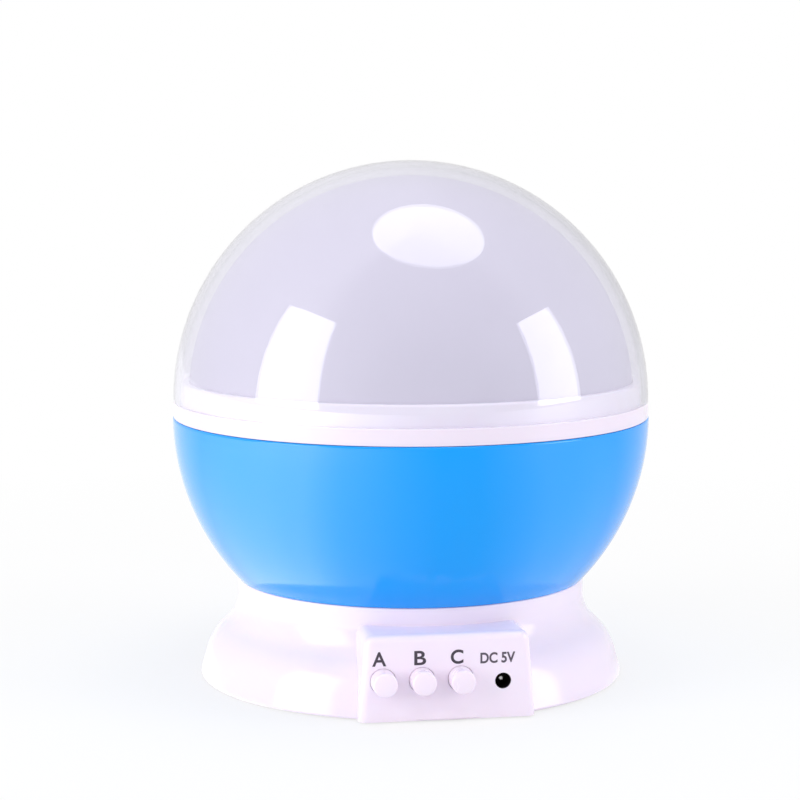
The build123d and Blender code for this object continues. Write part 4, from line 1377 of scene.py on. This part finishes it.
    def plate_columns(self) -> list[Point]:
        """Return where the bottom plate's screw columns stand."""
        x, y, _ = self.plate_column
        return [(-x, -y), (-x, y), (x, -y), (x, y)]

    def posts(self) -> Piece:
        """Make the columns and bosses on the deck, under it and behind the panel.

        Returns:
            The columns and bosses.
        """
        sunk_z = self.deck_z + SUNK
        posts = [peg(x, y, self.plate_column[2], self.plate_column_z, sunk_z)
                 for x, y in self.plate_columns()]
        reach, radius = self.strap_column
        posts += [peg(x, self.motor_y, radius, self.strap_column_z, sunk_z) for x in (-reach, reach)]
        posts.append(peg(*self.idler, self.idler_boss, self.deck_top_z - SUNK, self.idler_boss_top_z, 48))
        front = self.panel_y + self.panel_wall - SUNK
        posts += [front_peg(x, z, self.board_boss, front, self.board_y, 32) for x, z in self.board_bosses]
        return together(posts)

    def jack_cut(self) -> Piece:
        """Make the shape of the inlet's hole, a little narrower at its front lip.

        Returns:
            The cutter.
        """
        back = -(self.panel_y + self.panel_wall + PAST)
        step = -(self.panel_y + self.jack_lip_depth)
        front = -(self.panel_y - PAST)
        return lathe("jack_cut", [(0.0, back), (self.jack_hole, back), (self.jack_hole, step),
                                  (self.jack_lip, step), (self.jack_lip, front), (0.0, front)], 48,
                     facing_front(self.jack_x, self.jack_z))

    def holes(self) -> Piece:
        """Make the shape of every hole in the housing.

        Returns:
            The cutter.
        """
        low, inner_y = self.deck_z - PAST, self.panel_y + self.panel_wall + PAST
        holes = [front_peg(x, self.button_z, self.button_hole, self.panel_y - PAST, inner_y, 64)
                 for x in self.button_x]
        holes.append(self.jack_cut())
        holes += [front_peg(x, z, self.small_pilot, inner_y, self.board_y + PAST, 20)
                  for x, z in self.board_bosses]
        holes += [peg(x, y, self.plate_pilot, self.plate_column_z - PAST, self.plate_pilot_top_z, 24)
                  for x, y in self.plate_columns()]
        holes += [peg(x, self.motor_y, self.small_pilot, self.strap_column_z - PAST,
                      self.strap_column_z + self.small_pilot_depth, 20)
                  for x in (-self.strap_column[0], self.strap_column[0])]
        holes.append(peg(0, self.motor_y, self.shaft_hole, low, self.deck_top_z + PAST))
        holes.append(peg(*self.idler, self.axle, low, self.idler_boss_top_z + PAST, 24))
        holes.append(peg(0, 0, self.mast_radius, low, self.stub_top_z + PAST, 96))
        return together(holes)

    def build(self) -> None:
        """Make and mount the housing."""
        housing = self.bell("base_housing", 0.0)
        carve(housing, Cut.JOIN, self.box())
        carve(housing, Cut.REMOVE, self.bell("hollow", self.wall))
        carve(housing, Cut.REMOVE, self.hollow_box())
        neck = self.neck_radius() - self.wall / 2
        carve(housing, Cut.JOIN, peg(0, 0, neck, self.deck_z, self.deck_top_z, 160))
        carve(housing, Cut.JOIN, self.posts())
        carve(housing, Cut.JOIN, self.stub())
        carve(housing, Cut.REMOVE, self.holes())
        weight(housing)
        self.shop.mount(housing, SHELL_WHITE, Body.BASE, "shell_white", "base_shell")

    def neck_radius(self) -> float:
        """Work out where the bell's bends leave its neck.

        Returns:
            The neck's outer radius.
        """
        tilt, waist = math.radians(self.flank_tilt), math.radians(self.waist_tilt)
        start = self.base_radius - self.edge * (1 - math.cos(tilt))
        bend = self.shoulder * (math.cos(tilt) - math.cos(waist)) + self.neck_sweep * (1 - math.cos(waist))
        return start - self.flank_length * math.sin(tilt) - bend


@dataclass(frozen=True)
class Word:
    """A short word on the panel, in millimetres. It stands on the middle of its foot."""

    name: str
    text: str
    foot: Point
    height: float
    width: float
    bolder: float
    finish: Finish = INK
    font_size: float = 10.0

    def mesh(self, ink: float) -> bpy.types.Mesh:
        """Set the word in the built-in font.

        Args:
            ink: Half the ink's thickness.

        Returns:
            The word, flat, to its size and with its foot at the middle.
        """
        curve = bpy.data.curves.new(self.name, "FONT")
        curve.body = self.text
        curve.size = self.font_size * MM
        curve.extrude = ink * MM
        curve.offset = self.bolder * MM
        source = added(self.name, curve)
        graph = bpy.context.evaluated_depsgraph_get()
        mesh = bpy.data.meshes.new_from_object(source.evaluated_get(graph))
        bpy.data.objects.remove(source)
        mesh.name = self.name
        low, high = (Vector([pick(vertex.co[axis] for vertex in mesh.vertices) for axis in range(3)])
                     for pick in (min, max))
        wider, taller = self.width * MM / (high.x - low.x), self.height * MM / (high.y - low.y)
        foot = Matrix.Translation((-(low.x + high.x) / 2, -low.y, 0))
        mesh.transform(Matrix.Diagonal((wider, taller, 1, 1)) @ foot)
        return mesh


@dataclass
class ControlPanel(PanelPlaces):
    """The three push buttons, the power inlet and the lettering over them."""

    button_radius: float = 3.0
    button_play: float = 0.07
    button_reach: float = 4.5
    button_back_y: float = -49.65
    crown: float = 0.12
    middle: Point = (0.45, 0.12)
    edge: float = 0.62
    edge_inset: float = 0.68
    edge_tilt: float = 12.0
    collar: float = 0.3
    collar_y: float = -50.65
    jack_nose: float = 2.05
    jack_nose_edge: float = 0.15
    jack_nose_sunk: float = 0.3
    jack_socket: float = 2.0
    jack_mouth: float = 1.8
    jack_mouth_depth: float = 2.0
    jack_mouth_sunk: float = 0.2
    jack_front_y: float = -52.45
    jack_floor_y: float = -45.2
    jack_back_y: float = -44.0
    jack_length: float = 6.75
    jack_half: float = 3.2
    pin_radius: float = 0.65
    pin_tip: float = 0.35
    pin_tip_y: float = -50.3
    pin_root: float = 0.45
    pin_root_y: float = -44.4
    ink: float = 0.03
    words: tuple[Word, ...] = (Word("letter_a", "A", (-16.3, 13.75), 3.4, 3.3, 0.2),
                               Word("letter_b", "B", (-6.65, 13.7), 3.4, 2.8, 0.18),
                               Word("letter_c", "C", (2.1, 13.65), 3.4, 3.0, 0.24),
                               Word("inlet_word", "DC 5V", (11.8, 13.5), 2.6, 8.3, 0.27, INK_LIGHT))

    def button(self, letter: str, x: float) -> None:
        """Make and mount one button.

        Args:
            letter: The button's letter.
            x: Where it stands along the panel.
        """
        front, back, collar_back = self.button_reach - self.panel_y, -self.button_back_y, -self.collar_y
        side, collar = self.button_radius + self.button_play, self.button_radius + self.collar
        pen = Outline((0.0, front))
        pen.to((side * self.middle[0], front - self.crown * self.middle[1]),
               (side - self.edge_inset, front - self.crown))
        pen.heading = -self.edge_tilt
        pen.bend(self.edge, self.edge_tilt - 90)
        pen.to((side, collar_back), (collar, collar_back), (collar, back), (0.0, back))
        cap = lathe(f"push_button_{letter}", pen.points, 72, facing_front(x, self.button_z))
        self.shop.mount(cap, CAP_WHITE, Body(f"button_{letter}"), "button_white", f"button_cap_{letter}")

    def inlet(self) -> None:
        """Make and mount the power inlet's body and its contact pin."""
        x, z, half = self.jack_x, self.jack_z, self.jack_half
        place = facing_front(x, z)
        low_y = self.jack_back_y - self.jack_length
        body = block((x - half, low_y, z - half), (x + half, self.jack_back_y, z + half))
        body.name = "inlet_body"
        root, front = -low_y - self.jack_nose_sunk, -self.jack_front_y
        carve(body, Cut.JOIN, lathe("nose", rounded([
            (0.0, root), (self.jack_nose, root), (self.jack_nose, front, self.jack_nose_edge), (0.0, front),
        ]), 72, place))
        step = self.jack_front_y + self.jack_mouth_depth
        carve(body, Cut.REMOVE, front_peg(x, z, self.jack_socket, step, self.jack_floor_y, 64))
        mouth = (self.jack_front_y - PAST, step + self.jack_mouth_sunk)
        carve(body, Cut.REMOVE, front_peg(x, z, self.jack_mouth, *mouth, 64))
        self.shop.mount(body, DARK_PLASTIC, Body.BASE, "dark_plastic", "dc_jack")
        root, step, tip = -self.pin_root_y, -self.jack_floor_y, -self.pin_tip_y
        pin = lathe("inlet_pin", rounded([
            (0.0, root), (self.pin_root, root), (self.pin_root, step), (self.pin_radius, step),
            (self.pin_radius, tip, self.pin_tip), (0.0, tip),
        ]), 48, place)
        self.shop.mount(pin, BRIGHT_PIN, Body.BASE, "nickel", "jack_pin")

    def letter(self, word: Word) -> None:
        """Print a word on the panel.

        Args:
            word: The word.
        """
        mesh = word.mesh(self.ink)
        x, z = word.foot
        mesh.transform(Matrix.Translation(Vector((x, self.panel_y, z)) * MM) @ facing_front(0, 0))
        self.shop.mount(added(word.name, mesh), word.finish, Body.BASE, "dark_plastic")

    def build(self) -> None:
        """Make and mount everything on the panel."""
        for letter, x in zip("abc", self.button_x):
            self.button(letter, x)
        self.inlet()
        for word in self.words:
            self.letter(word)


@dataclass
class Fittings:
    """Every carried-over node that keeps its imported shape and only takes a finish."""

    shop: Workshop

    def build(self) -> None:
        """Dress the carried-over nodes, group by group."""
        groups: dict[Finish, tuple[str, ...]] = {
            SHELL_WHITE: ("bottom_plate", "battery_door", "led_mast", "mask_carrier"),
            STEEL: ("door_screw", "plate_screws", "board_screws", "motor_screws", "motor_strap",
                    "gear_motor", "motor_shaft", "idler_axle", "retaining_clip", "ring_gear_screws",
                    "carrier_screws", "mask_screws"),
            NICKEL: ("battery_contacts",),
            NYLON: ("thrust_washer", "hub_bush", "ring_gear", "idler_gear", "motor_pinion"),
            DARK_PLASTIC: ("board_parts", "switch_housings", "switch_plunger_a", "switch_plunger_b",
                           "switch_plunger_c"),
            BOARD: ("control_board", "led_board"),
            CELLS: ("battery_cells",),
            RUBBER: ("rubber_feet",),
            LED_CLEAR: ("leds",),
            WIRE_WHITE: ("led_leads",),
            WIRE_RED: ("battery_leads",),
            WIRE_BLACK: ("motor_leads",),
        }
        for finish, nodes in groups.items():
            self.shop.dress(finish, *nodes)
            LOG.info("%s on %s", finish.name, ", ".join(nodes))


# ---------------------------------------------------------------- studio


@dataclass
class Studio:
    """A plain pale floor, soft boxes, a white surround and the camera, in metres and degrees."""

    camera_azimuth: float = -9.54
    camera_reach: float = 0.568
    camera_height: float = 0.1396
    camera_pitch: float = 7.05
    lens: float = 101.7
    sensor: float = 36.0
    shift: float = -0.0135
    near: float = 0.05
    ambient: float = 0.66
    box_reach: float = 1.0
    box_low: float = 0.07
    top_width: float = 0.72
    top_place: tuple[float, float, float] = (0.12, -0.03, 1.07)
    floor_size: float = 6.0
    paper: tuple[Rgb, Rgb] = ((0.86, 0.86, 0.87), (0.84, 0.84, 0.85))
    shadow_share: float = 0.72
    shadow_reach: Point = (0.08, 0.35)
    looking: tuple[Ray, ...] = (Ray.CAMERA, Ray.GLOSSY, Ray.TRANSMISSION)
    peak: float = 4.0
    floor_glow: tuple[Point, ...] = ((-180, 1.0), (-120, 1.4), (-98, 2.6), (-75, 3.8), (-55, 4.0),
                                     (-38, 2.2), (-14, 0.95), (2, 0.42), (19, 0.42), (50, 1.5),
                                     (79, 1.2), (97, 0.8), (180, 1.0))
    room_glow: tuple[Point, ...] = ((-180, 1.0), (-70, 1.0), (-50, 0.5), (50, 0.5), (70, 0.85),
                                    (150, 0.85), (180, 1.0))

    def by_azimuth(self, recipe: Recipe, place: Socket, stops: Sequence[Point]) -> Socket:
        """Tell how bright the studio looks in each direction.

        Glossy surfaces mirror soft stretches of light and shade, as from soft boxes and a table. Every
        other ray finds it plain white.

        Args:
            recipe: The node tree to add to.
            place: The place or direction that is looked at.
            stops: Pairs of an azimuth in degrees, from the front towards +X, and a strength.

        Returns:
            The strength's socket.
        """
        front = recipe.math("MULTIPLY", recipe.along(place, "Y"), -1.0)
        turn = recipe.math("ARCTAN2", recipe.along(place, "X"), front)
        ramp = recipe.add("ValToRGB", Fac=recipe.spread(turn, 0, 1, -math.pi, math.pi))
        elements = ramp.color_ramp.elements
        while len(elements) < len(stops):
            elements.new(0.5)
        for element, (azimuth, strength) in zip(elements, stops):
            element.position = (azimuth + 180) / 360
            element.color = (strength / self.peak,) * 3 + (1,)
        mirrored = recipe.math("MULTIPLY", ramp.outputs["Color"], self.peak)
        mix = recipe.add("Mix")
        for index, value in ((0, recipe.seen(Ray.GLOSSY)), (2, 1.0), (3, mirrored)):
            recipe.feed(value, mix.inputs[index])
        return mix.outputs[0]

    def floor(self) -> None:
        """Lay the pale floor, white where it is looked at, with the object's shadow left on it."""
        half = self.floor_size / 2 / MM
        floor = solid("floor", [(-half, -half, 0), (half, -half, 0), (half, half, 0), (-half, half, 0)],
                      [(0, 1, 2, 3)])
        recipe = Recipe(bpy.data.materials.new("floor_paper"))
        tone = recipe.blend(recipe.noise(0.4, 2.0), *self.paper)
        paper = recipe.add("BsdfDiffuse", Color=tone).outputs[0]
        reach = recipe.add("VectorMath")
        reach.operation = "LENGTH"
        recipe.feed(recipe.place(), reach.inputs[0])
        white = recipe.spread(reach.outputs["Value"], self.shadow_share, 1.0, *self.shadow_reach)
        strength = self.by_azimuth(recipe, recipe.place(), self.floor_glow)
        shown = recipe.either(white, paper, recipe.add("Emission", Strength=strength).outputs[0])
        floor.data.materials.append(recipe.surface(recipe.either(recipe.seen(*self.looking), paper, shown)))
        floor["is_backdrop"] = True

    def surround(self) -> None:
        """Light the object evenly from a white surround."""
        world = bpy.data.worlds.new("surround")
        bpy.context.scene.world = world
        recipe = Recipe(world)
        mirrored = self.by_azimuth(recipe, recipe.add("TexCoord").outputs["Generated"], self.room_glow)
        glow, shown = (recipe.add("Background", Color=(1, 1, 1), Strength=strength).outputs[0]
                       for strength in (self.ambient, mirrored))
        recipe.surface(recipe.either(recipe.seen(*self.looking), glow, shown))

    def soft_box(self, name: str, face: Face, size: Point, place: Sequence[float],
                 radiance: float) -> Piece:
        """Hang a soft box that looks down and that the camera doesn't see.

        Args:
            name: The lamp's name.
            face: The shape of its face.
            size: Its width and depth.
            place: The middle of its face.
            radiance: How bright its face is, where 1 is white.

        Returns:
            The lamp.
        """
        data = bpy.data.lights.new(name, "AREA")
        data.shape = face.value
        data.size, data.size_y = size
        area = size[0] * size[1] * (math.pi / 4 if face is Face.ROUND else 1)
        data.energy = radiance * math.pi * area
        lamp = added(name, data)
        lamp.location = place
        lamp.visible_camera = False
        return lamp

    def side_box(self, name: str, azimuth: float, top: float, spread: float, radiance: float) -> None:
        """Stand an upright soft box that faces the object.

        Args:
            name: The lamp's name.
            azimuth: Its direction, from the front towards +X.
            top: The height of its upper edge.
            spread: The angle that it fills from side to side.
            radiance: How bright its face is, where 1 is white.
        """
        turn = math.radians(azimuth)
        width = 2 * self.box_reach * math.tan(math.radians(spread / 2))
        place = (self.box_reach * math.sin(turn), -self.box_reach * math.cos(turn),
                 (self.box_low + top) / 2)
        lamp = self.soft_box(name, Face.SQUARE, (width, top - self.box_low), place, radiance)
        lamp.rotation_euler = (math.radians(90), 0, turn)

    def camera(self) -> None:
        """Set up the camera."""
        data = bpy.data.cameras.new("camera")
        data.sensor_width = self.sensor
        data.lens = self.lens
        data.shift_x = self.shift
        data.clip_start = self.near
        camera = added("camera", data)
        turn = math.radians(self.camera_azimuth)
        camera.location = (math.sin(turn) * self.camera_reach, -math.cos(turn) * self.camera_reach,
                           self.camera_height)
        camera.rotation_euler = (math.radians(90 - self.camera_pitch), 0, turn)
        bpy.context.scene.camera = camera

    def build(self) -> None:
        """Set up the whole studio."""
        self.floor()
        self.surround()
        self.side_box("left_box", azimuth=-69.0, top=0.88, spread=33.0, radiance=3.9)
        self.side_box("right_box", azimuth=63.5, top=0.76, spread=24.0, radiance=3.8)
        self.soft_box("top_box", Face.ROUND, (self.top_width, self.top_width), self.top_place, radiance=2.6)
        self.camera()
        bpy.context.scene.view_settings.view_transform = "Standard"


def corners(box: tuple[Vector, Vector]) -> list[list[float]]:
    """Return a box's two corners as plain lists."""
    return [list(corner) for corner in box]


def main() -> None:
    """Build the projector round the frame."""
    logging.basicConfig(level=logging.INFO, format="%(message)s")
    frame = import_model()
    cad_box = corners(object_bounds())
    shop = Workshop(frame)
    for assembly in (Cover(shop), Bowl(shop), StarMask(shop), BaseHousing(shop), ControlPanel(shop),
                     Fittings(shop), Studio()):
        LOG.info("building %s", type(assembly).__name__)
        assembly.build()
    visual_box = corners(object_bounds())


if __name__ == "__main__":
    main()
